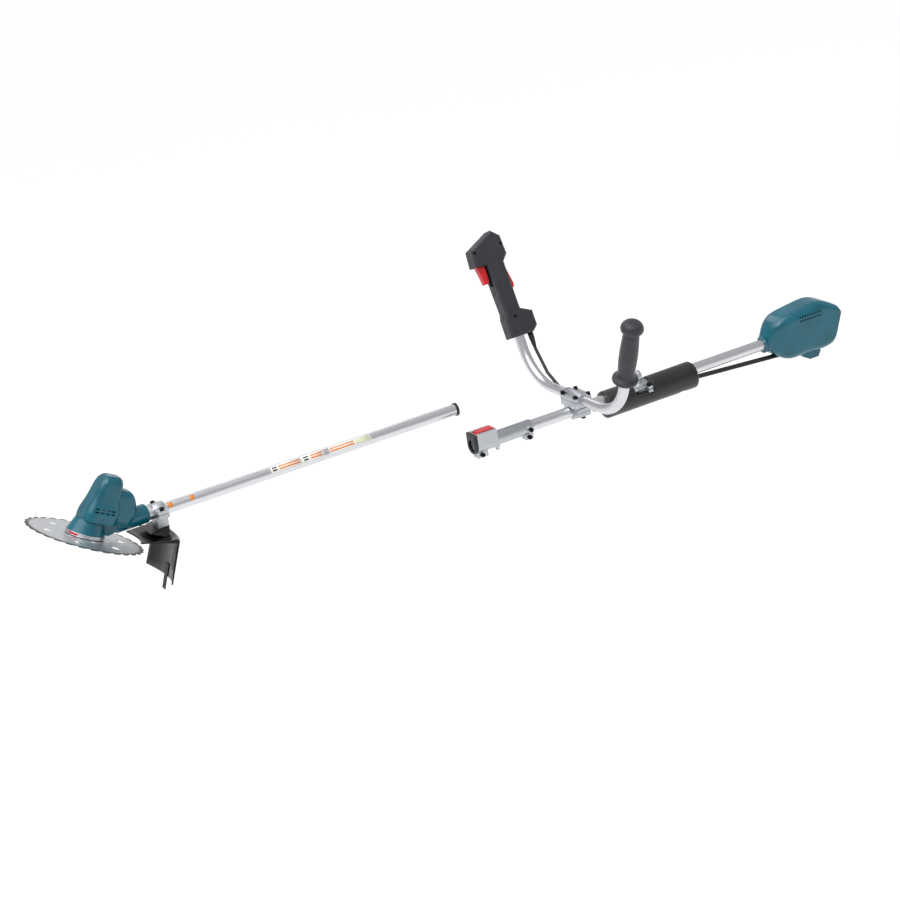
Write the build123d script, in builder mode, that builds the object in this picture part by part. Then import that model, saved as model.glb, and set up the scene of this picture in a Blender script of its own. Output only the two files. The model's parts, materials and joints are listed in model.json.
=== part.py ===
from build123d import *
from math import cos, radians, sin
import os

# Battery brush cutter with a shaft that parts in two halves, stored with the halves apart.
#
# Frame: +X runs along the shaft from the blade to the battery end, +Y is the user's right, where
# the trigger grip is, and +Z is square to the shaft, towards the grips. The origin is the centre
# of the harness eye. All sizes are in millimetres.

os.makedirs("parts", exist_ok=True)

# ---------------------------------------------------------------- driving sizes
pipe_od = 24.0
pipe_wall = 1.5
bar_od = 22.0
bar_wall = 1.6
cable_od = 7.0
blade_od = 230.0
blade_thick = 1.8
blade_bore = 20.0
blade_teeth = 30

run_fit = 0.05          # radial clearance of a shaft that turns or slides in its hole
slide_gap = 0.5         # free gap between pieces that move past each other
shell_wall = 2.5        # moulded housing wall
pocket_run = 60.0       # how far a cut runs on to be sure of leaving the piece

eye_height = 27.0       # harness eye centre above the shaft axis
mouth_x = -413.0        # front face of the coupler
handle_x = -155.0       # handlebar centre
pad_x = -90.0           # front end of the hip pad
pad_length = 224.0
nose_x = 324.0          # front end of the rear housing
tip_gap = 0.5           # pipe tip to coupler mouth, once the halves are in line
insertion = 80.0        # how far the lower pipe enters the coupler
aside_y = 40.0          # how far the lower half lies to the right of the coupler's line
aside_z = 72.0          # and above it
lower_length = 821.0    # lower pipe's tip back to the motor spindle
head_tilt = 28.0        # lean of the spindle from square to the shaft

shaft_z = -eye_height
pipe_r = pipe_od / 2
pipe_bore_r = pipe_r - pipe_wall
bar_r = bar_od / 2



def across(x, y=0.0, z=shaft_z):
    """Plane square to the shaft at x: local x is +Y, local y is +Z, local z is +X."""
    return Plane(origin=(x, y, z), x_dir=(0, 1, 0), z_dir=(1, 0, 0))


def side(y=0.0, x=0.0, z=shaft_z):
    """Upright plane along the shaft: local x is +X, local y is +Z, local z is -Y."""
    return Plane(origin=(x, y, z), x_dir=(1, 0, 0), z_dir=(0, -1, 0))


def level(z=0.0, x=0.0, y=0.0):
    """Plane parallel to the shaft and the ground line, z above the shaft axis."""
    return Plane(origin=(x, y, shaft_z + z), x_dir=(1, 0, 0), z_dir=(0, 0, 1))


def save(piece, name):
    """Labels a finished piece and writes it to its own file."""
    piece.label = name
    export_step(piece, "parts/" + name + ".step")


def cap_screw(plane, head_r, head_h, shank_r, length):
    """Socket cap screw: its head stands on the plane, its shank runs down from it."""
    with BuildPart(mode=Mode.PRIVATE) as screw:
        with BuildSketch(plane):
            Circle(head_r)
        extrude(amount=head_h)
        with BuildSketch(plane):
            Circle(shank_r)
        extrude(amount=-length)
        with BuildSketch(plane.offset(head_h)):
            RegularPolygon(head_r * 0.55, 6)
        extrude(amount=-head_h * 0.6, mode=Mode.SUBTRACT)
    return screw.part


def screw_pocket(plane, head_r, shank_r, length):
    """The room that a screw takes: a hole for its shank, and a wider one outwards for its head."""
    with BuildPart(mode=Mode.PRIVATE) as pocket:
        with BuildSketch(plane):
            Circle(head_r)
        extrude(amount=pocket_run)
        with BuildSketch(plane):
            Circle(shank_r)
        extrude(amount=-length)
    return pocket.part


def moved(plane, x, y):
    """The same plane with its origin moved to the point (x, y) on it."""
    return Plane(origin=plane.from_local_coords(Vector(x, y, 0)), x_dir=plane.x_dir, z_dir=plane.z_dir)


def save_halves(piece, plane, front_name, back_name):
    """Parts a shell along a plane and saves the half that the plane faces, then the other half."""
    for keep, name in ((Keep.TOP, front_name), (Keep.BOTTOM, back_name)):
        with BuildPart() as half:
            add(piece)
            split(bisect_by=plane, keep=keep)
        save(half.part, name)


# ================================================================ upper half: coupler
socket_depth = insertion + 4.0
upper_pipe_x = mouth_x + socket_depth
coupler_length = 141.0
coupler_end = mouth_x + coupler_length
coupler_tube_r = 15.0
coupler_bore_r = pipe_r + 0.08
socket_nose = 14.0                    # how far the upper plug stands out into the coupler
bezel_length = 7.0
block_end = mouth_x + 54.0
block_half = 17.5
block_top = 26.0
slot_half = 10.0
slot_floor = 16.0
lug_x = mouth_x + 17.0
lug_z = -21.0
rear_lug_x = coupler_end - 10.0
bolt_r = 2.5
bolt_head_r = 4.6
slit = 2.0
hole_back = 21.0                      # lower pipe's tip to its locating hole
locate_x = mouth_x - tip_gap + insertion - hole_back
locate_r = 3.0
lever_pivot_x = mouth_x + 14.0
lever_pivot_z = 20.5
lever_pin_r = 2.0

with BuildPart() as coupler:
    with BuildSketch(across(mouth_x + bezel_length)):
        Circle(block_half)
        with Locations((0, block_top / 2)):
            Rectangle(2 * block_half, block_top)
    extrude(amount=block_end - mouth_x - bezel_length)
    with BuildSketch(across(block_end)):
        Circle(coupler_tube_r)
    extrude(amount=coupler_end - block_end)
    with BuildSketch(across(mouth_x + bezel_length)):
        with Locations((0, lug_z / 2 - 3)):
            Rectangle(20, -lug_z + 6)
    extrude(amount=24)
    with BuildSketch(across(rear_lug_x - 8)):
        with Locations((0, -12)):
            Rectangle(20, 24)
    extrude(amount=18)
    with BuildSketch(side(14, x=rear_lug_x)):
        Circle(7)
    extrude(amount=33)
    with BuildSketch(level(-coupler_tube_r - 4.0, x=locate_x)):
        Circle(6.5)
    extrude(amount=8)
    with BuildSketch(across(mouth_x)):
        Circle(coupler_bore_r)
    extrude(amount=socket_depth, mode=Mode.SUBTRACT)
    with BuildSketch(across(upper_pipe_x - socket_nose)):
        Circle(coupler_bore_r + 0.4)
    extrude(amount=socket_nose, mode=Mode.SUBTRACT)
    with BuildSketch(across(upper_pipe_x)):
        Circle(pipe_r)
    extrude(amount=coupler_length, mode=Mode.SUBTRACT)
    # pinch slits under the bore at the mouth and at the rear
    with BuildSketch(across(mouth_x)):
        with Locations((0, -25)):
            Rectangle(slit, 30)
    extrude(amount=40, mode=Mode.SUBTRACT)
    with BuildSketch(across(rear_lug_x - 14)):
        with Locations((0, -25)):
            Rectangle(slit, 30)
    extrude(amount=40, mode=Mode.SUBTRACT)
    # lever slot in the top
    with BuildSketch(side(slot_half)):
        with BuildLine():
            Polyline((lever_pivot_x - 6, block_top + 1), (lever_pivot_x - 6, slot_floor),
                     (block_end + 1, slot_floor), (block_end + 1, block_top + 1), close=True)
        make_face()
    extrude(amount=2 * slot_half, mode=Mode.SUBTRACT)
    with BuildSketch(side(block_half + 1, x=lever_pivot_x, z=shaft_z + lever_pivot_z)):
        Circle(lever_pin_r)
    extrude(amount=2 * block_half + 2, mode=Mode.SUBTRACT)
    for bolt_x, bolt_z in ((lug_x, lug_z), (rear_lug_x, lug_z + 2.5)):
        with BuildSketch(side(20, x=bolt_x, z=shaft_z + bolt_z)):
            Circle(bolt_r)
        extrude(amount=40, mode=Mode.SUBTRACT)
    with BuildSketch(side(0, x=rear_lug_x)):
        Circle(bolt_r)
    extrude(amount=20, mode=Mode.SUBTRACT)
    with BuildSketch(level(-30, x=locate_x)):
        Circle(locate_r + run_fit)
    extrude(amount=30, mode=Mode.SUBTRACT)
save(coupler.part, "coupler_body")

with BuildPart() as bezel:
    with BuildSketch(across(mouth_x)):
        Circle(block_half)
        with Locations((0, block_top / 2)):
            Rectangle(2 * block_half, block_top)
        Circle(coupler_bore_r + 0.4, mode=Mode.SUBTRACT)
    extrude(amount=bezel_length)
    fillet(bezel.faces().sort_by(Axis.X)[0].outer_wire().edges(), 1.5)
save(bezel.part, "coupler_bezel")

lever_heel_r = lever_pivot_z - slot_floor - 0.3
with BuildPart() as lever:
    with BuildSketch(side(slot_half - slide_gap)):
        with BuildLine():
            Polyline((lever_pivot_x, lever_pivot_z - lever_heel_r), (lever_pivot_x, block_top),
                     (lever_pivot_x + 1, block_top + 1.5), (block_end - 2, block_top + 1.5),
                     (block_end + 2, block_top - 1.5), (block_end + 2, block_top - 4.5),
                     (block_end - 6, slot_floor + 2), (lever_pivot_x + 6, slot_floor + 1), close=True)
        make_face()
        with Locations((lever_pivot_x, lever_pivot_z)):
            Circle(lever_heel_r)
            Circle(lever_pin_r + run_fit, mode=Mode.SUBTRACT)
    extrude(amount=2 * (slot_half - slide_gap))
save(lever.part, "release_lever")

with BuildPart() as lever_pin:
    with BuildSketch(side(block_half, x=lever_pivot_x, z=shaft_z + lever_pivot_z)):
        Circle(lever_pin_r)
    extrude(amount=2 * block_half)
save(lever_pin.part, "lever_pin")

pin_travel = 3.0                      # the locating pin rests clear of the bore and rises into it
pin_foot_r = 4.2
pin_foot = 2.5
boss_foot = coupler_tube_r + 4.0
with BuildPart() as locating_pin:
    with BuildSketch(level(-boss_foot - slide_gap - pin_travel, x=locate_x)):
        Circle(locate_r)
    extrude(amount=boss_foot + pin_travel - coupler_bore_r)
    fillet(locating_pin.faces().sort_by(Axis.Z)[-1].edges(), 1.0)
    with BuildSketch(level(-boss_foot - slide_gap - pin_travel, x=locate_x)):
        Circle(pin_foot_r)
    extrude(amount=-pin_foot)
save(locating_pin.part, "locating_pin")

front_screw = cap_screw(side(-10, x=lug_x, z=shaft_z + lug_z), bolt_head_r, 4, bolt_r, 20)
rear_screw = cap_screw(side(-10, x=rear_lug_x, z=shaft_z + lug_z + 2.5), bolt_head_r, 4, bolt_r, 20)
radial_screw = cap_screw(side(-19, x=rear_lug_x), bolt_head_r, 4, bolt_r, 19 - pipe_r)
save(Compound(children=[front_screw, rear_screw, radial_screw]), "coupler_screws")

# ================================================================ upper half: pipe and plug
housing_seat = 48.0                   # upper pipe's length inside the rear housing
upper_pipe_end = nose_x + housing_seat
cable_r = cable_od / 2
slot_x = pad_x + 178.0                # where the power cable leaves the pipe, under the pad
slot_length = 46.0
with BuildPart() as upper_pipe:
    with BuildSketch(across(upper_pipe_x)):
        Circle(pipe_r)
        Circle(pipe_bore_r, mode=Mode.SUBTRACT)
    extrude(amount=upper_pipe_end - upper_pipe_x)
    with BuildSketch(level(0, x=slot_x)):
        SlotOverall(slot_length, cable_od + 8)
    extrude(amount=-2 * pipe_r, mode=Mode.SUBTRACT)
save(upper_pipe.part, "upper_pipe")

socket_nose_r = pipe_bore_r - 1.0
with BuildPart() as socket:
    with BuildSketch(across(upper_pipe_x)):
        Circle(pipe_bore_r)
    extrude(amount=30)
    with BuildSketch(across(upper_pipe_x)):
        Circle(socket_nose_r)
    extrude(amount=-socket_nose)
    with BuildSketch(across(upper_pipe_x - socket_nose)):
        with PolarLocations(5, 3):
            Circle(1.4)
    extrude(amount=10, mode=Mode.SUBTRACT)
save(socket.part, "upper_socket")

# ================================================================ upper half: handlebar and its clamp
bar_z = 27.0                          # bar axis above the shaft axis
clamp_length = 44.0                   # along the shaft
clamp_width = 62.0                    # along the bar
split_gap = 0.8
bar_bolt_x = 32.0
bar_bolt_y = 48.0
cap_flange = 7.5
cap_r = 15.0
strap_r = 17.5
strap_bolt_y = 20.0
strap_length = 32.0

with BuildPart() as handle_base:
    with BuildSketch(across(handle_x - strap_length / 2)):
        with BuildLine():
            Polyline((-26, split_gap / 2), (26, split_gap / 2), (26, 8), (18, 15), (-18, 15), (-26, 8),
                     close=True)
        make_face()
    extrude(amount=strap_length)
    with BuildSketch(level(13, x=handle_x)):
        RectangleRounded(clamp_length, clamp_width, 8)
    extrude(amount=bar_z - split_gap / 2 - 13)
    with BuildSketch(across(handle_x - clamp_length)):
        Circle(pipe_r)
    extrude(amount=2 * clamp_length, mode=Mode.SUBTRACT)
    with BuildSketch(side(clamp_width, x=handle_x, z=shaft_z + bar_z)):
        Circle(bar_r)
    extrude(amount=2 * clamp_width, mode=Mode.SUBTRACT)
    with BuildSketch(level(bar_z, x=handle_x)):
        with GridLocations(bar_bolt_x, bar_bolt_y, 2, 2):
            Circle(bolt_r)
    extrude(amount=-22, mode=Mode.SUBTRACT)
    with BuildSketch(level(0, x=handle_x)):
        with Locations((0, -strap_bolt_y), (0, strap_bolt_y)):
            Circle(bolt_r)
    extrude(amount=12, mode=Mode.SUBTRACT)
save(handle_base.part, "handle_base")

with BuildPart() as handle_strap:
    with BuildSketch(across(handle_x - strap_length / 2)):
        Circle(strap_r)
        with Locations((0, -4.5)):
            Rectangle(52, 9)
        with Locations((0, 25)):
            Rectangle(60, 50 + split_gap, mode=Mode.SUBTRACT)
        Circle(pipe_r, mode=Mode.SUBTRACT)
    extrude(amount=strap_length)
    with BuildSketch(level(0, x=handle_x)):
        with Locations((0, -strap_bolt_y), (0, strap_bolt_y)):
            Circle(bolt_r)
    extrude(amount=-12, mode=Mode.SUBTRACT)
save(handle_strap.part, "handle_strap")

cap_top = level(bar_z + split_gap / 2 + cap_flange, x=handle_x)
with BuildPart() as handle_cap:
    with BuildSketch(level(bar_z + split_gap / 2, x=handle_x)):
        RectangleRounded(clamp_length, clamp_width, 8)
    extrude(amount=cap_flange)
    with BuildSketch(side(clamp_width / 2, x=handle_x, z=shaft_z + bar_z)):
        Circle(cap_r)
        with Locations((0, -50)):
            Rectangle(80, 100 + split_gap, mode=Mode.SUBTRACT)
    extrude(amount=clamp_width)
    with BuildSketch(side(clamp_width, x=handle_x, z=shaft_z + bar_z)):
        Circle(bar_r)
    extrude(amount=2 * clamp_width, mode=Mode.SUBTRACT)
    with BuildSketch(level(bar_z, x=handle_x)):
        with GridLocations(bar_bolt_x, bar_bolt_y, 2, 2):
            Circle(bolt_r)
    extrude(amount=12, mode=Mode.SUBTRACT)
    with BuildSketch(cap_top):
        with GridLocations(bar_bolt_x, bar_bolt_y, 2, 2):
            Circle(bolt_head_r + 0.3)
    extrude(amount=cap_r, mode=Mode.SUBTRACT)
save(handle_cap.part, "handle_cap")

handle_bolts = []
for bolt_x in (-bar_bolt_x / 2, bar_bolt_x / 2):
    for bolt_y in (-bar_bolt_y / 2, bar_bolt_y / 2):
        handle_bolts.append(cap_screw(moved(cap_top, bolt_x, bolt_y), bolt_head_r, 5, bolt_r, 18))
for bolt_y in (-strap_bolt_y, strap_bolt_y):
    under = Plane(origin=(handle_x, bolt_y, shaft_z - 9), x_dir=(1, 0, 0), z_dir=(0, 0, -1))
    handle_bolts.append(cap_screw(under, bolt_head_r, 5, bolt_r, 18))
save(Compound(children=handle_bolts), "handle_bolts")

# handlebar: straight through the clamp, then swept up and slightly out on both sides
grip_lean = 22.6
grip_y = 200.0
grip_z = 112.0
bar_bend_r = 110.0
bar_in_grip = 112.0
lean_y = sin(radians(grip_lean))
lean_z = cos(radians(grip_lean))
corner_y = grip_y - (grip_z - bar_z) * lean_y / lean_z
bar_end_y = grip_y + bar_in_grip * lean_y
bar_end_z = shaft_z + grip_z + bar_in_grip * lean_z
with BuildPart() as handlebar:
    with BuildLine() as bar_path:
        FilletPolyline((handle_x, -bar_end_y, bar_end_z), (handle_x, -corner_y, shaft_z + bar_z),
                       (handle_x, corner_y, shaft_z + bar_z), (handle_x, bar_end_y, bar_end_z),
                       radius=bar_bend_r)
    with BuildSketch(Plane(origin=bar_path.line @ 0, z_dir=bar_path.line % 0)):
        Circle(bar_r)
        Circle(bar_r - bar_wall, mode=Mode.SUBTRACT)
    sweep()
save(handlebar.part, "handlebar")

# ================================================================ upper half: left grip
left_grip_plane = Plane(origin=(handle_x, -grip_y, shaft_z + grip_z), x_dir=(1, 0, 0),
                        z_dir=(0, -lean_y, lean_z))
right_grip_plane = Plane(origin=(handle_x, grip_y, shaft_z + grip_z), x_dir=(1, 0, 0),
                         z_dir=(0, lean_y, lean_z))
left_grip_length = 146.0
grip_body_r = 18.0
grip_dome_r = 23.5


def grip_side(plane, offset=0.0):
    """Plane through a grip's axis: local x is +X and local y runs up the grip."""
    return Plane(origin=plane.origin + plane.y_dir * offset, x_dir=plane.x_dir,
                 z_dir=plane.x_dir.cross(plane.z_dir))


with BuildPart() as left_grip:
    with BuildSketch(grip_side(left_grip_plane)):
        with BuildLine():
            Polyline((0, 0), (26, 0), (27, 3), (26, 7), (20, 12), (17, 22))
            Spline((17, 22), (grip_body_r + 1, 60), (grip_body_r - 0.5, 100), (16, 120))
            Polyline((16, 120), (17.5, 123), (grip_dome_r - 1, 126), (grip_dome_r, 130))
            ThreePointArc((grip_dome_r, 130), (grip_dome_r * 0.8, left_grip_length - 5), (6, left_grip_length))
            Polyline((6, left_grip_length), (0, left_grip_length), (0, 0))
        make_face()
    revolve(axis=Axis(left_grip_plane.origin, left_grip_plane.z_dir))
    with BuildSketch(left_grip_plane.offset(-5)):
        Circle(bar_r)
    extrude(amount=5 + bar_in_grip, mode=Mode.SUBTRACT)
save(left_grip.part, "left_grip")

# ================================================================ upper half: trigger grip
grip_half = 18.0
trigger_half = 7.0
trigger_pivot = (-38.0, 186.0)
lock_pivot = (12.5, 157.0)
lever_axle_r = 2.0


def grip_outline(inset, out):
    """Side outline of the trigger grip, at a distance out from its middle; inset draws it smaller."""
    with BuildSketch(grip_side(right_grip_plane, out), mode=Mode.PRIVATE) as outline:
        with BuildLine():
            Polyline((-24, 6), (-24, 48), (-20.5, 62), (-24, 169), (-53, 172), (-50, 209), (8, 238),
                     (27, 222), (29, 182), (16, 167), (17, 62), (43, 50), (43, 17), (30, 6), close=True)
        make_face()
        if inset > 0:
            offset(amount=-inset, kind=Kind.INTERSECTION, mode=Mode.REPLACE)
    return outline.sketch


grip_skin = 4.5
cavity_base = bar_in_grip + 6.0
grip_screw_r = 1.6
grip_screw_head = 3.4
cable_x = 28.0                        # switch cable's place behind the bar, on the grip's own plane
cable_into_grip = 24.0
relief_r = 6.2
relief_base = -6.0
relief_top = 14.0

grip_bevel = 4.0
with BuildPart() as grip_outside:
    extrude(grip_outline(0, grip_half - grip_bevel), amount=2 * (grip_half - grip_bevel))
    for out in (-1, 1):
        loft([grip_outline(0, out * (grip_half - grip_bevel)), grip_outline(grip_bevel, out * grip_half)])

with BuildPart() as grip_cavity:
    extrude(grip_outline(grip_skin, grip_half - grip_skin), amount=2 * (grip_half - grip_skin))
    split(bisect_by=right_grip_plane.offset(cavity_base), keep=Keep.TOP)

# two screws hold the shells together in the head, and one bears on the bar low down
grip_screw_planes = [moved(grip_side(right_grip_plane, -grip_half + 3), x, s)
                     for x, s in ((-45, 201), (21, 205), (-2, 48))]
grip_screw_lengths = [26, 26, grip_half - 3 - bar_r]

with BuildPart() as grip_shell:
    add(grip_outside.part)
    add(grip_cavity.part, mode=Mode.SUBTRACT)
    with BuildSketch(right_grip_plane.offset(-5)):
        Circle(bar_r)
    extrude(amount=5 + bar_in_grip, mode=Mode.SUBTRACT)
    with BuildSketch(grip_side(right_grip_plane, trigger_half + slide_gap)):
        with Locations((-31, 150)):
            Rectangle(40, 54)
        with Locations((20, 134)):
            Rectangle(24, 64)
    extrude(amount=2 * (trigger_half + slide_gap), mode=Mode.SUBTRACT)
    with BuildSketch(grip_side(right_grip_plane, grip_half - 1)):
        with Locations(trigger_pivot, lock_pivot):
            Circle(lever_axle_r)
    extrude(amount=2 * grip_half - 2, mode=Mode.SUBTRACT)
    with BuildSketch(moved(right_grip_plane, cable_x, 0).offset(relief_base)):
        Circle(relief_r)
    extrude(amount=relief_top - relief_base, mode=Mode.SUBTRACT)
    with BuildSketch(moved(right_grip_plane, cable_x, 0)):
        Circle(cable_r)
    extrude(amount=cable_into_grip, mode=Mode.SUBTRACT)
    for place, length in zip(grip_screw_planes, grip_screw_lengths):
        with BuildSketch(place):
            Circle(5.5)
        extrude(amount=-length + 1)
        add(screw_pocket(place, grip_screw_head, grip_screw_r, length), mode=Mode.SUBTRACT)
    with BuildSketch(right_grip_plane.offset(-5)):
        Circle(bar_r)
    extrude(amount=5 + bar_in_grip, mode=Mode.SUBTRACT)
save_halves(grip_shell.part, grip_side(right_grip_plane), "grip_shell_inner", "grip_shell_outer")

grip_screws = [cap_screw(place, grip_screw_head, 2, grip_screw_r, length)
               for place, length in zip(grip_screw_planes, grip_screw_lengths)]
save(Compound(children=grip_screws), "grip_screws")

with BuildPart() as trigger:
    with BuildSketch(grip_side(right_grip_plane, trigger_half)):
        with BuildLine():
            Polyline((-44, 190), (-33, 191), (-29, 182), (-27, 158), (-28, 136), (-32, 131), (-40, 131),
                     (-42.5, 150), (-46, 172), close=True)
        make_face()
        with Locations(trigger_pivot):
            Circle(lever_axle_r + run_fit, mode=Mode.SUBTRACT)
    extrude(amount=2 * trigger_half)
save(trigger.part, "trigger")

with BuildPart() as lock_lever:
    with BuildSketch(grip_side(right_grip_plane, trigger_half)):
        with BuildLine():
            Polyline((8.5, 161), (15, 163), (19, 158), (26, 118), (25, 110), (21.5, 108), (18.5, 112),
                     (17.5, 138), (9, 152), close=True)
        make_face()
        with Locations(lock_pivot):
            Circle(lever_axle_r + run_fit, mode=Mode.SUBTRACT)
    extrude(amount=2 * trigger_half)
save(lock_lever.part, "lock_lever")

with BuildPart() as grip_pins:
    with BuildSketch(grip_side(right_grip_plane, grip_half - 1)):
        with Locations(trigger_pivot, lock_pivot):
            Circle(lever_axle_r)
    extrude(amount=2 * grip_half - 2)
save(grip_pins.part, "grip_pins")

with BuildPart() as grip_switch:
    with BuildSketch(grip_side(right_grip_plane, grip_half - grip_skin)):
        with Locations((-4, 142)):
            Rectangle(12, 34)
    extrude(amount=2 * (grip_half - grip_skin))
    with BuildSketch(moved(grip_side(right_grip_plane, 3), -13, 145)):
        Rectangle(6, 6)
    extrude(amount=6)
save(grip_switch.part, "grip_switch")

with BuildPart() as strain_relief:
    with BuildSketch(moved(right_grip_plane, cable_x, 0).offset(relief_base)):
        Circle(relief_r)
        Circle(cable_r, mode=Mode.SUBTRACT)
    extrude(amount=relief_top - relief_base)
save(strain_relief.part, "strain_relief")

# ================================================================ upper half: cables
cable_row = 4.0                       # the two cables lie this far to each side of the middle
band_r = pipe_r + 3.0                 # harness band's outside
cable_drop = band_r + cable_r + 0.4   # the cables' depth under the shaft axis, below the band
cable_end_x = nose_x + 48.0
cable_end_drop = 36.0
pad_end = pad_x + pad_length


def cable(points, bend_r):
    """A round cable along straight runs joined by arcs; z is given above the shaft axis."""
    with BuildPart(mode=Mode.PRIVATE) as lead:
        with BuildLine() as route:
            FilletPolyline(*[(x, y, shaft_z + z) for x, y, z in points], radius=bend_r)
        with BuildSketch(Plane(origin=route.line @ 0, z_dir=route.line % 0)):
            Circle(cable_r)
        sweep()
    return lead.part


grip_cable_start = right_grip_plane.from_local_coords(Vector(cable_x, 0, cable_into_grip))
grip_cable_turn = right_grip_plane.from_local_coords(Vector(cable_x, 0, -30))
switch_route = [(grip_cable_start.X, grip_cable_start.Y, grip_cable_start.Z - shaft_z),
                (grip_cable_turn.X, grip_cable_turn.Y, grip_cable_turn.Z - shaft_z),
                (handle_x + 24, corner_y - 20, bar_z + 14),
                (handle_x + 25, 90, 10),
                (handle_x + 32, 36, -9),
                (handle_x + 48, -cable_row, -cable_drop),
                (pad_end, -cable_row, -cable_drop),
                (cable_end_x, -cable_row, -cable_end_drop)]
switch_cable = cable(switch_route, 20)
save(switch_cable, "switch_cable")

power_route = [(upper_pipe_x + 30, 0, 0),
               (slot_x - 28, 0, 0),
               (slot_x + 12, cable_row, -cable_drop),
               (pad_end, cable_row, -cable_drop),
               (cable_end_x, cable_row, -cable_end_drop)]
power_cable = cable(power_route, 20)
save(power_cable, "power_cable")

# ================================================================ upper half: harness eye and hip pad
band_front = -9.0
band_back = 18.0
eye_r = 7.5
eye_ring_r = 12.0
eye_half = 4.0
ear_x = 12.5                          # pinch ears, on the left of the band
ear_length = 11.0
ear_half = 6.5
ear_y = 20.0

with BuildPart() as hanger:
    with BuildSketch(across(band_front)):
        Circle(band_r)
    extrude(amount=band_back - band_front)
    with BuildSketch(across(-eye_half)):
        with Locations((0, eye_height)):
            Circle(eye_ring_r)
        with Locations((0, eye_height / 2)):
            Rectangle(16, eye_height)
    extrude(amount=2 * eye_half)
    with BuildSketch(across(ear_x - ear_length / 2)):
        with Locations((-ear_y, 0)):
            Rectangle(14, 2 * ear_half)
    extrude(amount=ear_length)
    with BuildSketch(across(-eye_half)):
        with Locations((0, eye_height)):
            Circle(eye_r)
    extrude(amount=2 * eye_half, mode=Mode.SUBTRACT)
    with BuildSketch(across(band_front)):
        Circle(pipe_r)
    extrude(amount=band_back - band_front, mode=Mode.SUBTRACT)
    with BuildSketch(across(band_front)):
        with Locations((-20, 0)):
            Rectangle(40, slit)
    extrude(amount=band_back - band_front, mode=Mode.SUBTRACT)
    with BuildSketch(level(ear_half, x=ear_x, y=-ear_y)):
        Circle(bolt_r)
    extrude(amount=-2 * ear_half, mode=Mode.SUBTRACT)
save(hanger.part, "hanger")
save(cap_screw(level(ear_half, x=ear_x, y=-ear_y), bolt_head_r, 5, bolt_r, 2 * ear_half), "hanger_bolt")

pad_r = 29.5
pad_axis = -10.5                      # pad's middle, below the shaft axis
pad_gap = 0.5
with BuildPart() as hip_pad:
    with BuildSketch(across(pad_x)):
        with Locations((0, pad_axis)):
            Circle(pad_r)
    extrude(amount=pad_length)
    with BuildSketch(across(pad_x)):
        Circle(pipe_r)
        with Locations((0, -cable_drop / 2 - cable_r / 2)):
            Rectangle(2 * (cable_row + cable_r) + 1, cable_drop + cable_r)
    extrude(amount=pad_length, mode=Mode.SUBTRACT)
    with BuildSketch(across(band_front - pad_gap)):
        Circle(band_r + pad_gap)
    extrude(amount=band_back - band_front + 2 * pad_gap, mode=Mode.SUBTRACT)
    with BuildSketch(level(-ear_half - 1, x=-1)):
        RectangleRounded(44, 80, 6)
    extrude(amount=60, mode=Mode.SUBTRACT)
    with BuildSketch(side(pad_r, x=pad_x + 190)):
        with Locations((0, -pad_r - 12)):
            Rectangle(16, 16)
    extrude(amount=2 * pad_r, mode=Mode.SUBTRACT)
save(hip_pad.part, "hip_pad")

# ================================================================ upper half: rear housing
rear_half = 38.0
rear_lean = 22.5                      # lean of the battery face
nose_ring_r = 17.0
boss_end = upper_pipe_end + 4.0


def rear_body(inset):
    """The rear housing's rounded body, a loft along the shaft; inset draws it smaller."""
    with BuildPart(mode=Mode.PRIVATE) as body:
        for x, low, high, half, corner in ((4, -14, 18, 18, 13), (20, -24, 42, 26, 17),
                                           (42, -40, 54, 34, 18), (80, -44, 60, rear_half, 20),
                                           (131, -45, 65, rear_half, 20), (158, -42, 59, rear_half, 18),
                                           (200, -34, 36, 34, 14)):
            with BuildSketch(across(nose_x + x)):
                with Locations((0, (low + high) / 2)):
                    RectangleRounded(2 * (half - inset), high - low - 2 * inset, corner - inset)
        loft()
    return body.part


def behind_face(inset):
    """Everything behind the housing's battery face, to be cut away."""
    with BuildPart(mode=Mode.PRIVATE) as block:
        with BuildSketch(side(80)):
            with BuildLine():
                Polyline((512 - inset, 90), (512 - inset, 38), (516 - inset, 28), (497 - inset, -18),
                         (488 - inset, -33), (488 - inset, -90), (600, -90), (600, 90), close=True)
            make_face()
        extrude(amount=160)
    return block.part


with BuildPart() as rear_cavity:
    add(rear_body(shell_wall))
    add(behind_face(shell_wall), mode=Mode.SUBTRACT)

rear_face = Plane(origin=(506.5, 0, shaft_z + 5), x_dir=(0, 1, 0),
                  z_dir=(cos(radians(rear_lean)), 0, -sin(radians(rear_lean))))
rail_plate = (56.0, 40.0, 3.0)
rear_screw_places = [(352, -18), (410, -34), (474, -24), (474, 40), (374, 40)]
rear_screw_r = 2.0
rear_screw_head = 3.6
rear_screw_planes = [Plane(origin=(x, 26, shaft_z + z), x_dir=(1, 0, 0), z_dir=(0, 1, 0))
                     for x, z in rear_screw_places]
ledge_z = 8.0
board_x = 402.0
board_length = 50.0

with BuildPart() as rear_posts:
    for place in rear_screw_planes:
        with BuildSketch(place.offset(20)):
            Circle(5)
        extrude(amount=-90)
    add(rear_body(0), mode=Mode.INTERSECT)

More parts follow.
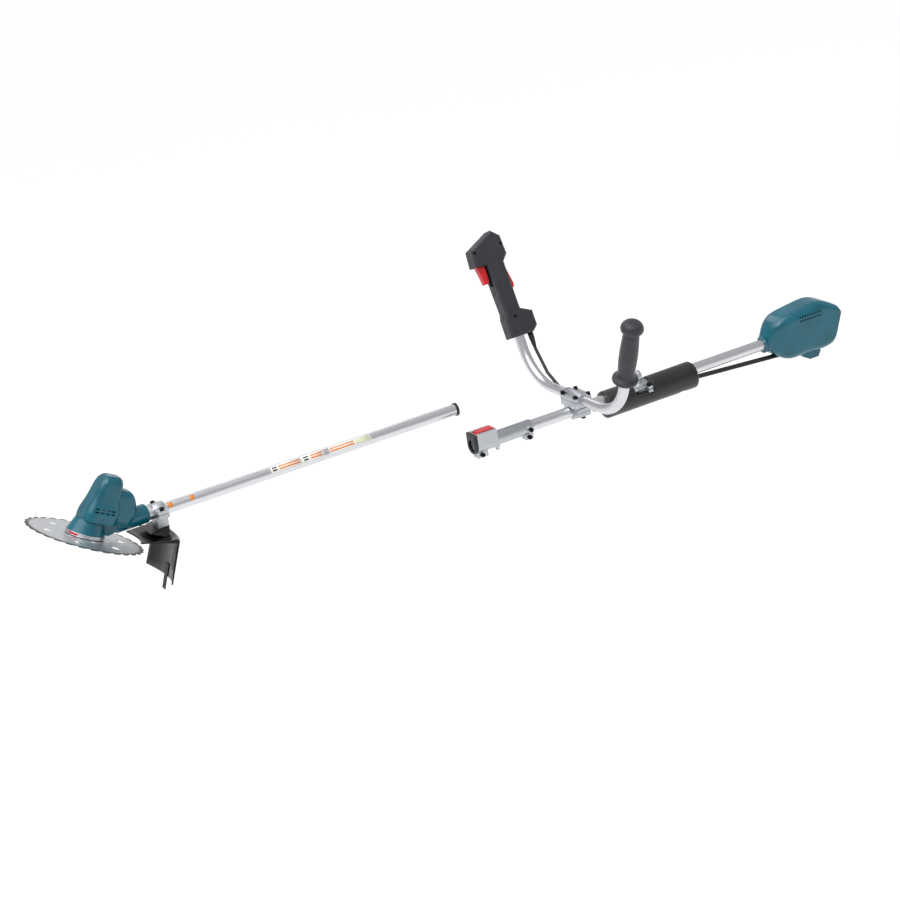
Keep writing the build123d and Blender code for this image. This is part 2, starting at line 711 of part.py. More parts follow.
with BuildPart() as rear_shell:
    add(rear_body(0))
    with BuildSketch(side(20)):
        with BuildLine():
            Polyline((404, -38), (416, -52), (432, -61), (456, -61), (462, -50), (466, -36), close=True)
        make_face()
    extrude(amount=40)
    add(behind_face(0), mode=Mode.SUBTRACT)
    add(rear_cavity.part, mode=Mode.SUBTRACT)
    with BuildSketch(across(nose_x)):
        Circle(nose_ring_r)
    extrude(amount=boss_end - nose_x)
    for x in (0.0, 6.0):
        with BuildSketch(across(nose_x + x)):
            Circle(nose_ring_r + 1.5)
        extrude(amount=3)
    with BuildSketch(across(nose_x)):
        Circle(pipe_r)
    extrude(amount=housing_seat, mode=Mode.SUBTRACT)
    with BuildSketch(across(nose_x)):
        Circle(pipe_bore_r)
    extrude(amount=boss_end - nose_x, mode=Mode.SUBTRACT)
    # ledges for the control board
    with BuildSketch(across(board_x)):
        for y in (-1, 1):
            with Locations((y * (rear_half - 5.5), ledge_z - 2)):
                Rectangle(9, 4)
    extrude(amount=board_length)
    # two rows of vents on the left
    with BuildSketch(side(-20, x=nose_x + 106, z=shaft_z + 42)):
        with GridLocations(6.5, 8, 9, 2):
            Rectangle(3.8, 3.8)
    extrude(amount=40, mode=Mode.SUBTRACT)
    # where the two cables enter, and the seat of the battery rail
    with BuildSketch(across(nose_x + 10)):
        with Locations((0, -cable_end_drop + 1.5)):
            RectangleRounded(2 * (cable_row + cable_r), cable_od + 3, 4)
    extrude(amount=cable_end_x - nose_x - 10, mode=Mode.SUBTRACT)
    with BuildSketch(rear_face.offset(-rail_plate[2])):
        Rectangle(rail_plate[0], rail_plate[1])
    extrude(amount=20, mode=Mode.SUBTRACT)
    add(rear_posts.part)
    for place in rear_screw_planes:
        add(screw_pocket(place, rear_screw_head, rear_screw_r, 40), mode=Mode.SUBTRACT)
save_halves(rear_shell.part, side(0), "rear_shell_left", "rear_shell_right")

save(Compound(children=[cap_screw(place, rear_screw_head, 3, rear_screw_r, 40) for place in rear_screw_planes]),
     "rear_screws")

with BuildPart() as control_board:
    with BuildSketch(level(ledge_z, x=board_x + board_length / 2)):
        Rectangle(board_length, 2 * (rear_half - 4))
    extrude(amount=3)
    with BuildSketch(level(ledge_z + 3, x=board_x + board_length / 2)):
        with GridLocations(16, 20, 3, 3):
            Rectangle(10, 12)
    extrude(amount=10)
save(control_board.part, "control_board")

with BuildPart() as battery_rail:
    with BuildSketch(rear_face.offset(-rail_plate[2])):
        Rectangle(rail_plate[0], rail_plate[1])
    extrude(amount=rail_plate[2])
    with BuildSketch(rear_face):
        Rectangle(26, 34)
        for y in (-1, 1):
            with Locations((y * 25, 0)):
                Rectangle(4, 38)
    extrude(amount=7)
    with BuildSketch(rear_face.offset(5)):
        for y in (-1, 1):
            with Locations((y * 23.5, 0)):
                Rectangle(7, 38)
    extrude(amount=2)
    with BuildSketch(rear_face):
        with GridLocations(9, 1, 3, 1):
            Rectangle(1.5, 26)
    extrude(amount=7, mode=Mode.SUBTRACT)
save(battery_rail.part, "battery_rail")

with BuildPart() as battery_contacts:
    with BuildSketch(rear_face):
        with GridLocations(9, 1, 3, 1):
            Rectangle(1.5, 26)
    extrude(amount=5)
save(battery_contacts.part, "battery_contacts")

# ================================================================ lower half: pipe
tip_x = mouth_x - tip_gap
blade_x = tip_x - lower_length
low_z = shaft_z + aside_z
lower_pipe_back = 84.0                # spindle to the pipe's end, along the shaft
lower_pipe_x = blade_x + lower_pipe_back
plug_back = hole_back + 6.0


def low_across(x):
    """Plane square to the lower pipe at x, with its origin on that pipe's axis."""
    return across(x, y=aside_y, z=low_z)


def low_level(z, x):
    """Plane parallel to the lower pipe, z above its axis."""
    return Plane(origin=(x, aside_y, low_z + z), x_dir=(1, 0, 0), z_dir=(0, 0, 1))


with BuildPart() as lower_pipe:
    with BuildSketch(low_across(lower_pipe_x)):
        Circle(pipe_r)
        Circle(pipe_bore_r, mode=Mode.SUBTRACT)
    extrude(amount=tip_x - lower_pipe_x)
    with BuildSketch(low_level(0, tip_x - hole_back)):
        Circle(locate_r + 0.35)
    extrude(amount=-2 * pipe_r, mode=Mode.SUBTRACT)
    chamfer(lower_pipe.faces().sort_by(Axis.X)[-1].outer_wire().edges(), 0.5)
save(lower_pipe.part, "lower_pipe")

with BuildPart() as lower_plug:
    with BuildSketch(low_across(tip_x - plug_back - 30)):
        Circle(pipe_bore_r)
    extrude(amount=30)
    with BuildSketch(low_across(tip_x - plug_back - 10)):
        with PolarLocations(5, 3):
            Circle(1.4)
    extrude(amount=10, mode=Mode.SUBTRACT)
save(lower_plug.part, "lower_plug")

seal_length = 5.0
with BuildPart() as mouth_seal:
    with BuildSketch(low_across(tip_x - seal_length)):
        Circle(pipe_r + 1.5)
        Circle(pipe_r + run_fit, mode=Mode.SUBTRACT)
    extrude(amount=seal_length)
save(mouth_seal.part, "mouth_seal")

# ================================================================ lower half: head, in the spindle's own frame
head = Plane(origin=(blade_x, aside_y, low_z), z_dir=(sin(radians(head_tilt)), 0, cos(radians(head_tilt))),
             x_dir=(cos(radians(head_tilt)), 0, -sin(radians(head_tilt))))


def head_level(height, x=0.0):
    """Plane square to the spindle at a height above the blade; local y is +Y."""
    return moved(head, x, 0).offset(height)


def head_side(y=0.0):
    """Plane through the spindle: local x points back to the shaft, local y up the spindle."""
    return Plane(origin=head.origin + head.y_dir * y, x_dir=head.x_dir, z_dir=head.x_dir.cross(head.z_dir))


spindle_r = 5.0
gear_module = 1.0
pinion_teeth = 10
gear_teeth = 30
gear_centres = gear_module * (pinion_teeth + gear_teeth) / 2
gear_low = 15.0
gear_width = 8.0
bearing_width = 7.0
spindle_bearing_r = 12.0
motor_bearing_r = 6.0
motor_shaft_r = 2.5
low_bearing = 6.0
plate_low = 24.0
plate_high = 34.0
top_bearing = 26.0
stator_r = 20.0
stator_bore_r = 11.6
rotor_r = 11.0
stator_low = 50.0
stator_high = 90.0
top_cap = 94.0
flange_r = 38.0
flange_low = 2.0
flange_high = 9.0
case_r = 27.0
case_x = 3.0


def gear(plane, teeth, bore_r, turn):
    """Straight-toothed gear; its teeth are thinned for backlash."""
    pitch_r = gear_module * teeth / 2
    with BuildPart(mode=Mode.PRIVATE) as wheel:
        with BuildSketch(plane):
            Circle(pitch_r - 1.2 * gear_module)
            with PolarLocations(pitch_r, teeth, start_angle=turn):
                Polygon((-1.5, -0.95), (0.85, -0.35), (0.85, 0.35), (-1.5, 0.95), align=None)
            Circle(bore_r, mode=Mode.SUBTRACT)
        extrude(amount=gear_width)
    return wheel.part


save(gear(head_level(gear_low), gear_teeth, spindle_r, 0), "spindle_gear")
save(gear(head_level(gear_low, gear_centres), pinion_teeth, motor_shaft_r, 180 / pinion_teeth), "motor_pinion")


def ring(height, x, outer_r, inner_r, length):
    """A plain ring on the spindle's direction, from a height up."""
    with BuildPart(mode=Mode.PRIVATE) as bush:
        with BuildSketch(head_level(height, x)):
            Circle(outer_r)
            Circle(inner_r, mode=Mode.SUBTRACT)
        extrude(amount=length)
    return bush.part


spindle_bore_r = spindle_r + run_fit
motor_bore_r = motor_shaft_r + run_fit
save(Compound(children=[ring(low_bearing, 0, spindle_bearing_r, spindle_bore_r, bearing_width),
                        ring(top_bearing, 0, spindle_bearing_r, spindle_bore_r, bearing_width)]),
     "spindle_bearings")
save(Compound(children=[ring(top_bearing, gear_centres, motor_bearing_r, motor_bore_r, bearing_width),
                        ring(top_cap, gear_centres, motor_bearing_r, motor_bore_r, 5)]),
     "motor_bearings")

receiver_r = 18.0
washer_r = 21.0
nut_low = -14.0
blade_half = blade_thick / 2
blade_bore_r = blade_bore / 2
with BuildPart() as spindle:
    with BuildSketch(head_level(nut_low - 3)):
        Circle(spindle_r)
    extrude(amount=top_bearing + bearing_width - nut_low + 3)
    chamfer(spindle.faces().sort_by(Axis(head.origin, head.z_dir))[0].edges(), 1)
save(spindle.part, "spindle")

with BuildPart() as receiver_washer:
    with BuildSketch(head_level(blade_half)):
        Circle(receiver_r)
    extrude(amount=3.4)
    with BuildSketch(head_level(-blade_half)):
        Circle(blade_bore_r)
    extrude(amount=blade_thick)
    with BuildSketch(head_level(-blade_half)):
        Circle(spindle_r)
    extrude(amount=10, mode=Mode.SUBTRACT)
save(receiver_washer.part, "receiver_washer")

with BuildPart() as clamp_washer:
    with BuildSketch(head_level(-blade_half)):
        Circle(washer_r)
    extrude(amount=-5, taper=25)
    with BuildSketch(head_level(-blade_half)):
        Circle(spindle_r)
    extrude(amount=-10, mode=Mode.SUBTRACT)
save(clamp_washer.part, "clamp_washer")

with BuildPart() as blade_nut:
    with BuildSketch(head_level(-blade_half - 5)):
        Circle(10)
    extrude(amount=-2)
    with BuildSketch(head_level(-blade_half - 7)):
        RegularPolygon(9.2, 6)
    extrude(amount=nut_low + blade_half + 7)
    with BuildSketch(head_level(-blade_half - 5)):
        Circle(spindle_r)
    extrude(amount=-12, mode=Mode.SUBTRACT)
save(blade_nut.part, "blade_nut")

blade_r = blade_od / 2
with BuildPart() as blade:
    with BuildSketch(head_level(-blade_half)):
        Circle(blade_r)
        Circle(blade_bore_r, mode=Mode.SUBTRACT)
        with PolarLocations(blade_r, blade_teeth):
            Polygon((-8, 3), (2, 4.5), (2, -14), align=None, mode=Mode.SUBTRACT)
        with PolarLocations(0.66 * blade_r, 6):
            Circle(9, mode=Mode.SUBTRACT)
        with PolarLocations(0.4 * blade_r, 6, start_angle=30):
            Circle(5, mode=Mode.SUBTRACT)
    extrude(amount=blade_thick)
save(blade.part, "blade")

with BuildPart() as gear_case:
    with BuildSketch(head_level(flange_low)):
        Circle(flange_r)
    extrude(amount=flange_high - flange_low)
    with BuildSketch(head_level(flange_high, case_x)):
        Circle(case_r)
    extrude(amount=plate_low - flange_high)
    with BuildSketch(head_level(gear_low - 1, case_x)):
        Circle(case_r - 2.5)
    extrude(amount=plate_low - gear_low + 1, mode=Mode.SUBTRACT)
    with BuildSketch(head_level(flange_low)):
        Circle(receiver_r + 1.5)
    extrude(amount=2.8, mode=Mode.SUBTRACT)
    with BuildSketch(head_level(low_bearing)):
        Circle(spindle_bearing_r)
    extrude(amount=gear_low - low_bearing, mode=Mode.SUBTRACT)
    with BuildSketch(head_level(0)):
        Circle(spindle_r + slide_gap)
    extrude(amount=gear_low, mode=Mode.SUBTRACT)
save(gear_case.part, "gear_case")

can_r = stator_r + 2.0
with BuildPart() as motor_plate:
    with BuildSketch(head_level(plate_low, case_x)):
        Circle(case_r)
    extrude(amount=plate_high - plate_low)
    with BuildSketch(head_level(plate_high, gear_centres)):
        Circle(can_r)
    extrude(amount=70 - plate_high)
    with BuildSketch(head_level(plate_high, gear_centres)):
        Circle(stator_r - 2)
    extrude(amount=70, mode=Mode.SUBTRACT)
    with BuildSketch(head_level(stator_low, gear_centres)):
        Circle(stator_r)
    extrude(amount=70, mode=Mode.SUBTRACT)
    for x, seat_r, hole_r in ((0, spindle_bearing_r, spindle_r + slide_gap),
                              (gear_centres, motor_bearing_r, motor_shaft_r + slide_gap)):
        with BuildSketch(head_level(top_bearing, x)):
            Circle(seat_r)
        extrude(amount=bearing_width, mode=Mode.SUBTRACT)
        with BuildSketch(head_level(plate_low, x)):
            Circle(hole_r)
        extrude(amount=plate_high - plate_low, mode=Mode.SUBTRACT)
save(motor_plate.part, "motor_plate")

with BuildPart() as motor_stator:
    with BuildSketch(head_level(stator_low, gear_centres)):
        Circle(stator_r)
        Circle(stator_bore_r, mode=Mode.SUBTRACT)
        with PolarLocations(15.5, 6):
            Circle(2.4, mode=Mode.SUBTRACT)
    extrude(amount=stator_high - stator_low)
save(motor_stator.part, "motor_stator")

# end cap that carries the motor's top bearing
with BuildPart() as motor_cap:
    with BuildSketch(head_level(stator_high, gear_centres)):
        Circle(stator_r)
    extrude(amount=top_cap + 5 - stator_high)
    with BuildSketch(head_level(stator_high, gear_centres)):
        Circle(stator_r - 3)
    extrude(amount=2, mode=Mode.SUBTRACT)
    with BuildSketch(head_level(top_cap, gear_centres)):
        Circle(motor_bearing_r)
    extrude(amount=5, mode=Mode.SUBTRACT)
    with BuildSketch(head_level(stator_high, gear_centres)):
        Circle(motor_shaft_r + slide_gap)
    extrude(amount=10, mode=Mode.SUBTRACT)
save(motor_cap.part, "motor_cap")

with BuildPart() as motor_rotor:
    with BuildSketch(head_level(stator_low + 2, gear_centres)):
        Circle(rotor_r)
    extrude(amount=stator_high - stator_low - 4)
    with BuildSketch(head_level(gear_low, gear_centres)):
        Circle(motor_shaft_r)
    extrude(amount=top_cap + 5 - gear_low)
save(motor_rotor.part, "motor_rotor")

# ---------------------------------------------------------------- head covers
cover_base = plate_high
neck_r = 19.0
neck_rise = 4.0
neck_back = 62.0
neck_end = 131.0


def head_lofts(inset):
    """The head's two rounded humps, each a loft up the spindle's direction; inset draws them smaller."""
    with BuildPart(mode=Mode.PRIVATE) as humps:
        for height, x, half_x, half_y, corner in ((cover_base, 14, 34, 33, 19), (70, 17.5, 29, 29, 16),
                                                  (100, 20.5, 24.5, 25, 13), (118, 23, 19.5, 20, 11),
                                                  (124, 24, 13, 14, 8)):
            lift = 0 if height == cover_base else inset * (height - cover_base) / (124 - cover_base)
            with BuildSketch(head_level(height - lift, x)):
                RectangleRounded(2 * (half_x - inset), 2 * (half_y - inset), corner - inset)
        loft()
        for height, x, half_x, half_y, corner in ((cover_base, 58, 20, 20, 9), (62, 57, 26, 23, 11),
                                                  (86, 55, 23, 21, 10), (97, 52, 18.5, 17.5, 9),
                                                  (101, 51, 13, 12, 7)):
            lift = 0 if height == cover_base else inset * (height - cover_base) / (101 - cover_base)
            with BuildSketch(head_level(height - lift, x)):
                RectangleRounded(2 * (half_x - inset), 2 * (half_y - inset), corner - inset)
        loft()
    return humps.part


head_screw_places = [(-13.5, 44), (70, 60), (66, 86)]
head_screw_r = 2.0
head_screw_head = 3.6
head_screw_planes = [Plane(origin=moved(head_side(12), x, height).origin, x_dir=head.x_dir, z_dir=(0, 1, 0))
                     for x, height in head_screw_places]

with BuildPart() as head_posts:
    for place in head_screw_planes:
        with BuildSketch(place.offset(20)):
            Circle(4)
        extrude(amount=-60)
    add(head_lofts(0), mode=Mode.INTERSECT)

with BuildPart() as head_cover:
    add(head_lofts(0))
    with BuildSketch(low_across(blade_x + neck_back)):
        with Locations((0, neck_rise)):
            Circle(neck_r)
    extrude(amount=neck_end - neck_back)
    fillet(head_cover.faces().sort_by(Axis.X)[-1].edges(), 6)
    add(head_lofts(shell_wall), mode=Mode.SUBTRACT)
    with BuildSketch(low_across(blade_x + neck_back)):
        Circle(9)
    extrude(amount=lower_pipe_back - neck_back, mode=Mode.SUBTRACT)
    with BuildSketch(low_across(lower_pipe_x)):
        Circle(pipe_r)
    extrude(amount=neck_end - lower_pipe_back, mode=Mode.SUBTRACT)
    add(head_posts.part)
    for place in head_screw_planes:
        add(screw_pocket(place, head_screw_head, head_screw_r, 28), mode=Mode.SUBTRACT)
    # two rows of vents low on the left
    with BuildSketch(head_side(-20)):
        with Locations((15, 58)):
            with GridLocations(11, 6, 4, 2):
                SlotOverall(9, 2.6)
    extrude(amount=20, mode=Mode.SUBTRACT)
save_halves(head_cover.part, head_side(0), "head_cover_left", "head_cover_right")
save(Compound(children=[cap_screw(place, head_screw_head, 3, head_screw_r, 28) for place in head_screw_planes]),
     "head_screws")

with BuildPart() as skirt_cavity:
    with BuildSketch(head_level(flange_high)):
        Circle(flange_r - 1.5 - shell_wall)
    with BuildSketch(head_level(cover_base, case_x)):
        Circle(case_r)
    loft()

with BuildPart() as head_skirt:
    with BuildSketch(head_level(flange_high)):
        Circle(flange_r - 1.5)
    with BuildSketch(head_level(cover_base, case_x)):
        Circle(case_r + 1.5)
    loft()
    with BuildSketch(head_side(-17)):
        with BuildLine():
            Polyline((20, 10), (40, 11), (46, 15), (56, 24), (51.5, cover_base), (20, cover_base), close=True)
        make_face()
    extrude(amount=-34)
    add(skirt_cavity.part, mode=Mode.SUBTRACT)
save(head_skirt.part, "head_skirt")

# the motor's lead, from the plug through the pipe and up into the second hump
lead_turn_x = blade_x + neck_back + 4.0
lead_top = head_level(62, 47).origin
motor_lead = cable([(tip_x - plug_back - 30, aside_y, aside_z), (lead_turn_x, aside_y, aside_z),
                    (lead_top.X, aside_y, lead_top.Z - shaft_z)], 9)
save(motor_lead, "motor_lead")

# ================================================================ lower half: guard and its clamp
clamp_back = 142.0
clamp_run = 23.0
clamp_x = blade_x + clamp_back
clamp_wall = 5.0
ear_reach = 29.0
ear_high = 8.0
clamp_bolt_y = 23.0
with BuildPart() as pipe_clamp:
    with BuildSketch(low_across(clamp_x)):
        Circle(pipe_r + clamp_wall)
        with Locations((0, ear_high / 2)):
            Rectangle(2 * ear_reach, ear_high)
        with Locations((0, -50 + split_gap / 2)):
            Rectangle(100, 100, mode=Mode.SUBTRACT)
        Circle(pipe_r, mode=Mode.SUBTRACT)
    extrude(amount=clamp_run)
    fillet(pipe_clamp.edges().filter_by(Axis.Z), 3)
    with BuildSketch(low_level(0, clamp_x + clamp_run / 2)):
        with Locations((0, -clamp_bolt_y), (0, clamp_bolt_y)):
            Circle(bolt_r)
    extrude(amount=20, mode=Mode.SUBTRACT)
save(pipe_clamp.part, "pipe_clamp")

bracket_foot = -30.0
with BuildPart() as guard_bracket:
    with BuildSketch(low_across(clamp_x)):
        Circle(pipe_r + clamp_wall)
        with Locations((0, -ear_high / 2)):
            Rectangle(2 * ear_reach, ear_high)
        with Locations((0, bracket_foot / 2)):
            Rectangle(30, -bracket_foot)
        with Locations((0, 50 - split_gap / 2)):
            Rectangle(100, 100, mode=Mode.SUBTRACT)
        Circle(pipe_r, mode=Mode.SUBTRACT)
    extrude(amount=clamp_run)
    with BuildSketch(low_level(0, clamp_x + clamp_run / 2)):
        with Locations((0, -clamp_bolt_y), (0, clamp_bolt_y)):
            Circle(bolt_r)
    extrude(amount=-20, mode=Mode.SUBTRACT)
save(guard_bracket.part, "guard_bracket")

guard_near = 29.0                     # the guard's spread towards the user's left, in degrees
guard_far = 20.0
guard_rim_r = 185.0
guard_wall_r = 173.0
guard_low = -47.0
guard_high = 41.0
guard_thick = 3.0


def radial(angle):
    """Plane through the spindle, turned to an angle from the shaft towards the user's left."""
    outward = head.x_dir * cos(radians(angle)) - head.y_dir * sin(radians(angle))
    return Plane(origin=head.origin, x_dir=outward, z_dir=outward.cross(head.z_dir))


pylon_top = low_level(bracket_foot, clamp_x + clamp_run / 2)
with BuildPart() as guard:
    with BuildSketch(radial(-guard_far)):
        with BuildLine():
            Polyline((106, 16), (150, 30), (guard_wall_r - 3, guard_high), (guard_wall_r + 3, guard_high - 3),
                     (guard_rim_r, guard_low), (guard_rim_r - guard_thick, guard_low),
                     (guard_wall_r - 1, guard_high - 8), (150, 30 - guard_thick), (106, 16 - guard_thick),
                     close=True)
        make_face()
    revolve(axis=Axis(head.origin, -head.z_dir), revolution_arc=guard_near + guard_far)
    with BuildSketch(pylon_top):
        Rectangle(clamp_run, 30)
    with BuildSketch(head_level(31, 138)):
        Rectangle(40, 64)
    loft()
save(guard.part, "guard")

guard_bolts = [cap_screw(moved(low_level(ear_high, clamp_x + clamp_run / 2), 0, y), bolt_head_r, 5, bolt_r,
                         2 * ear_high) for y in (-clamp_bolt_y, clamp_bolt_y)]
save(Compound(children=guard_bolts), "guard_bolts")

cutter_low = -73.0
cutter_high = -22.0
wall_lean = (guard_rim_r - guard_wall_r - guard_thick + 1) / (guard_high - 8 - guard_low)
cutter_top_r = guard_rim_r - guard_thick - (cutter_high - guard_low) * wall_lean
cutter_foot_r = guard_rim_r - guard_thick + (guard_low - cutter_low) * wall_lean
with BuildPart() as line_cutter:
    with BuildSketch(radial(2)):
        with BuildLine():
            Polyline((cutter_top_r, cutter_high), (cutter_foot_r, cutter_low),
                     (cutter_foot_r - 1.5, cutter_low), (cutter_top_r - 1.5, cutter_high), close=True)
        make_face()
    revolve(axis=Axis(head.origin, -head.z_dir), revolution_arc=5)
save(line_cutter.part, "line_cutter")
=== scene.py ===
# %% [markdown]
# # A battery brush cutter, its shaft parted in two halves
# The metal and plastic parts come from a fixed model in metres. This lesson gives each of them its
# real finish, remakes the foam hip pad as a soft piece, adds the small film labels on the lower pipe,
# and sets up a plain studio. We load the model first and keep its box.

# %% Load the frame
import json
import math

import bmesh
import bpy
from mathutils import Matrix, Vector


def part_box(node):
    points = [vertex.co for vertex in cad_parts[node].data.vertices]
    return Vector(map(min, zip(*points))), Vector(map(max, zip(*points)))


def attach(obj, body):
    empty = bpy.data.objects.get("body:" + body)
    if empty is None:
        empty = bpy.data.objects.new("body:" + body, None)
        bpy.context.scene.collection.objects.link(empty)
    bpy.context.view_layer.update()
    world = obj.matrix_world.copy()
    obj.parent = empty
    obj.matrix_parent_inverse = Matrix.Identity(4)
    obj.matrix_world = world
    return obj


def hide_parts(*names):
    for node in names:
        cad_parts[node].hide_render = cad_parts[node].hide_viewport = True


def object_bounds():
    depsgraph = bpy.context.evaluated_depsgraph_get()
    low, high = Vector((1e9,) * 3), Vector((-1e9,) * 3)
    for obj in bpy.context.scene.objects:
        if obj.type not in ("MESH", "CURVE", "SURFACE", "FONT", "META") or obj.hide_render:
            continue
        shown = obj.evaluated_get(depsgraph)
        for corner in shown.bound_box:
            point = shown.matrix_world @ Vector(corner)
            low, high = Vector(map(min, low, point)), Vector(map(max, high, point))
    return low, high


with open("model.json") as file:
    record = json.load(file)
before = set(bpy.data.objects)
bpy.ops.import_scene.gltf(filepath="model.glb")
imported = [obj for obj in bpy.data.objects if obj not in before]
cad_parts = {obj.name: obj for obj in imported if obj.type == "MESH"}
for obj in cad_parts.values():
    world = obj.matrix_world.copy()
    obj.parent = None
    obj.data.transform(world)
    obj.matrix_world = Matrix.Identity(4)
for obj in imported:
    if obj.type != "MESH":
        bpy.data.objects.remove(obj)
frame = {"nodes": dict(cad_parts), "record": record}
cad_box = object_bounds()
nodes = frame["nodes"]

# %% [markdown]
# ## Small helpers
# Colours are easiest to choose as sRGB hex values, but shaders want linear light, so one function
# turns the one into the other. Another adds a shader node with its settings and links in one call,
# and a third makes an object of a finished bmesh.
# A length in millimetres becomes a pattern scale by dividing: a Noise texture repeats about once per
# unit, so a grain of g mm needs a scale of 1000 / g.

# %% Colour, node and material helpers
MM = 0.001


def linear(hex_colour):
    """An sRGB hex colour as a linear RGBA tuple."""
    channels = [int(hex_colour[i:i + 2], 16) / 255 for i in (1, 3, 5)]
    return tuple(c / 12.92 if c <= 0.04045 else ((c + 0.055) / 1.055) ** 2.4 for c in channels) + (1.0,)


def per_mm(size):
    """The texture scale whose pattern repeats about once in this many millimetres."""
    return 1000.0 / size


def add_node(tree, kind, settings=None, links=None):
    """Adds a shader node; settings are its properties or inputs, links join inputs to other sockets."""
    node = tree.nodes.new(kind)
    for name, value in (settings or {}).items():
        if name in node.inputs:
            node.inputs[name].default_value = value
        else:
            setattr(node, name, value)
    for name, socket in (links or {}).items():
        tree.links.new(socket, node.inputs[name])
    return node


def mesh_object(name, mesh):
    """A new object in the scene, made from a bmesh, which is then freed."""
    data = bpy.data.meshes.new(name)
    mesh.to_mesh(data)
    mesh.free()
    made = bpy.data.objects.new(name, data)
    bpy.context.scene.collection.objects.link(made)
    return made


def new_material(name, shader_settings):
    """An empty material with one Principled shader, ready for its patterns."""
    material = bpy.data.materials.new(name)
    material.use_nodes = True
    tree = material.node_tree
    tree.nodes.clear()
    shader = add_node(tree, "ShaderNodeBsdfPrincipled", shader_settings)
    add_node(tree, "ShaderNodeOutputMaterial", links={"Surface": shader.outputs["BSDF"]})
    return material, tree, shader


def finish_node(node_name, material):
    """Gives a CAD node its finish, on every material slot of its mesh."""
    for material_slot in nodes[node_name].material_slots:
        material_slot.material = material
    if not nodes[node_name].material_slots:
        nodes[node_name].data.materials.append(material)


print("a 1 mm grain needs a texture scale of", per_mm(1.0))

# %% [markdown]
# ## The camera
# We look from the blade side, a little above, with a long lens, so that the two halves of the shaft
# run from lower left to upper right. The camera is turned a little about its own axis. Its place is
# found from one point of the shaft that we want at a chosen place in the frame.

# %% Camera
TURN = math.radians(27)
TILT = math.radians(21)
ROLL = math.radians(8.9)
LENS = 95.2
DISTANCE = 4.9
AIM = Vector((-0.2363, 0, -0.027))
AIM_SHIFT = Vector((0.1948, 0.0599))

level_right = Vector((math.cos(TURN), -math.sin(TURN), 0))
level_up = Vector((math.sin(TURN) * math.sin(TILT), math.cos(TURN) * math.sin(TILT), math.cos(TILT)))
to_camera = level_right.cross(level_up)
camera_right = math.cos(ROLL) * level_right - math.sin(ROLL) * level_up
camera_up = math.sin(ROLL) * level_right + math.cos(ROLL) * level_up
camera_data = bpy.data.cameras.new("camera")
camera_data.lens = LENS
camera_data.clip_end = 40
camera = bpy.data.objects.new("camera", camera_data)
bpy.context.scene.collection.objects.link(camera)
camera.matrix_world = (Matrix.Translation(AIM + DISTANCE * to_camera - AIM_SHIFT.x * camera_right
                                          - AIM_SHIFT.y * camera_up)
                       @ Matrix((camera_right, camera_up, to_camera)).transposed().to_4x4())
bpy.context.scene.camera = camera
print("camera at", [round(v, 3) for v in camera.matrix_world.translation])

# %% [markdown]
# ## Floor, sky and lights
# A studio shot of a tool is lit by big soft boxes. A wide overhead bank, made as a sun with a very
# wide angle, lights the floor evenly. One area light high on the left gives the long highlights on
# the pipes and the mouldings, and one behind lifts the edges. The floor is a plain pale sheet, low
# enough that the shadows melt away.

# %% Floor and lights
FLOOR_GAP = 0.6
FLOOR_REACH = 40
LIGHT_AIM = Vector((-0.35, 0, 0))
OVERHEAD_STRENGTH = 1.85
OVERHEAD_WIDTH = math.radians(60)
OVERHEAD_LEAN = math.radians(-18)
SKY_STRENGTH = 0.52

floor_mesh = bmesh.new()
bmesh.ops.create_grid(floor_mesh, x_segments=1, y_segments=1, size=FLOOR_REACH)
bmesh.ops.translate(floor_mesh, verts=floor_mesh.verts, vec=(0, 0, cad_box[0][2] - FLOOR_GAP))
floor = mesh_object("studio_floor", floor_mesh)
floor_paper, _, _ = new_material("studio_paper", {"Base Color": linear("#F7F7F6"), "Roughness": 0.9})
floor.data.materials.append(floor_paper)


def soft_box(name, place, size, watts):
    """A square area light that points at the middle of the machine."""
    light = bpy.data.lights.new(name, "AREA")
    light.size = size
    light.energy = watts
    lamp = bpy.data.objects.new(name, light)
    bpy.context.scene.collection.objects.link(lamp)
    aim = LIGHT_AIM - Vector(place)
    lamp.matrix_world = Matrix.Translation(place) @ aim.to_track_quat("-Z", "Y").to_matrix().to_4x4()


soft_box("key_light", (-1.4, -1.6, 3.0), 1.2, 26)
soft_box("edge_light", (0.6, 3.2, 2.6), 1.6, 12)
overhead = bpy.data.lights.new("overhead_bank", "SUN")
overhead.energy = OVERHEAD_STRENGTH
overhead.angle = OVERHEAD_WIDTH
overhead_lamp = bpy.data.objects.new("overhead_bank", overhead)
bpy.context.scene.collection.objects.link(overhead_lamp)
overhead_lamp.matrix_world = Matrix.Rotation(OVERHEAD_LEAN, 4, "Y")
sky = bpy.data.worlds.new("studio_sky")
sky.use_nodes = True
sky.node_tree.nodes["Background"].inputs["Color"].default_value = linear("#FFFFFF")
sky.node_tree.nodes["Background"].inputs["Strength"].default_value = SKY_STRENGTH
bpy.context.scene.world = sky
bpy.context.scene.view_settings.view_transform = "Standard"
print("two soft boxes, an overhead bank and a pale sky")

# %% [markdown]
# ## Moulded plastics
# The two housings are glossy moulded ABS, teal right through. A polished mould leaves a very slight
# orange-peel waviness about 6 mm across, which breaks the highlight up, and handling leaves faint
# differences in gloss. The black mouldings have a spark-eroded grain instead, under a millimetre
# across. One function makes them all, from two near colours, a grain size and a gloss range.

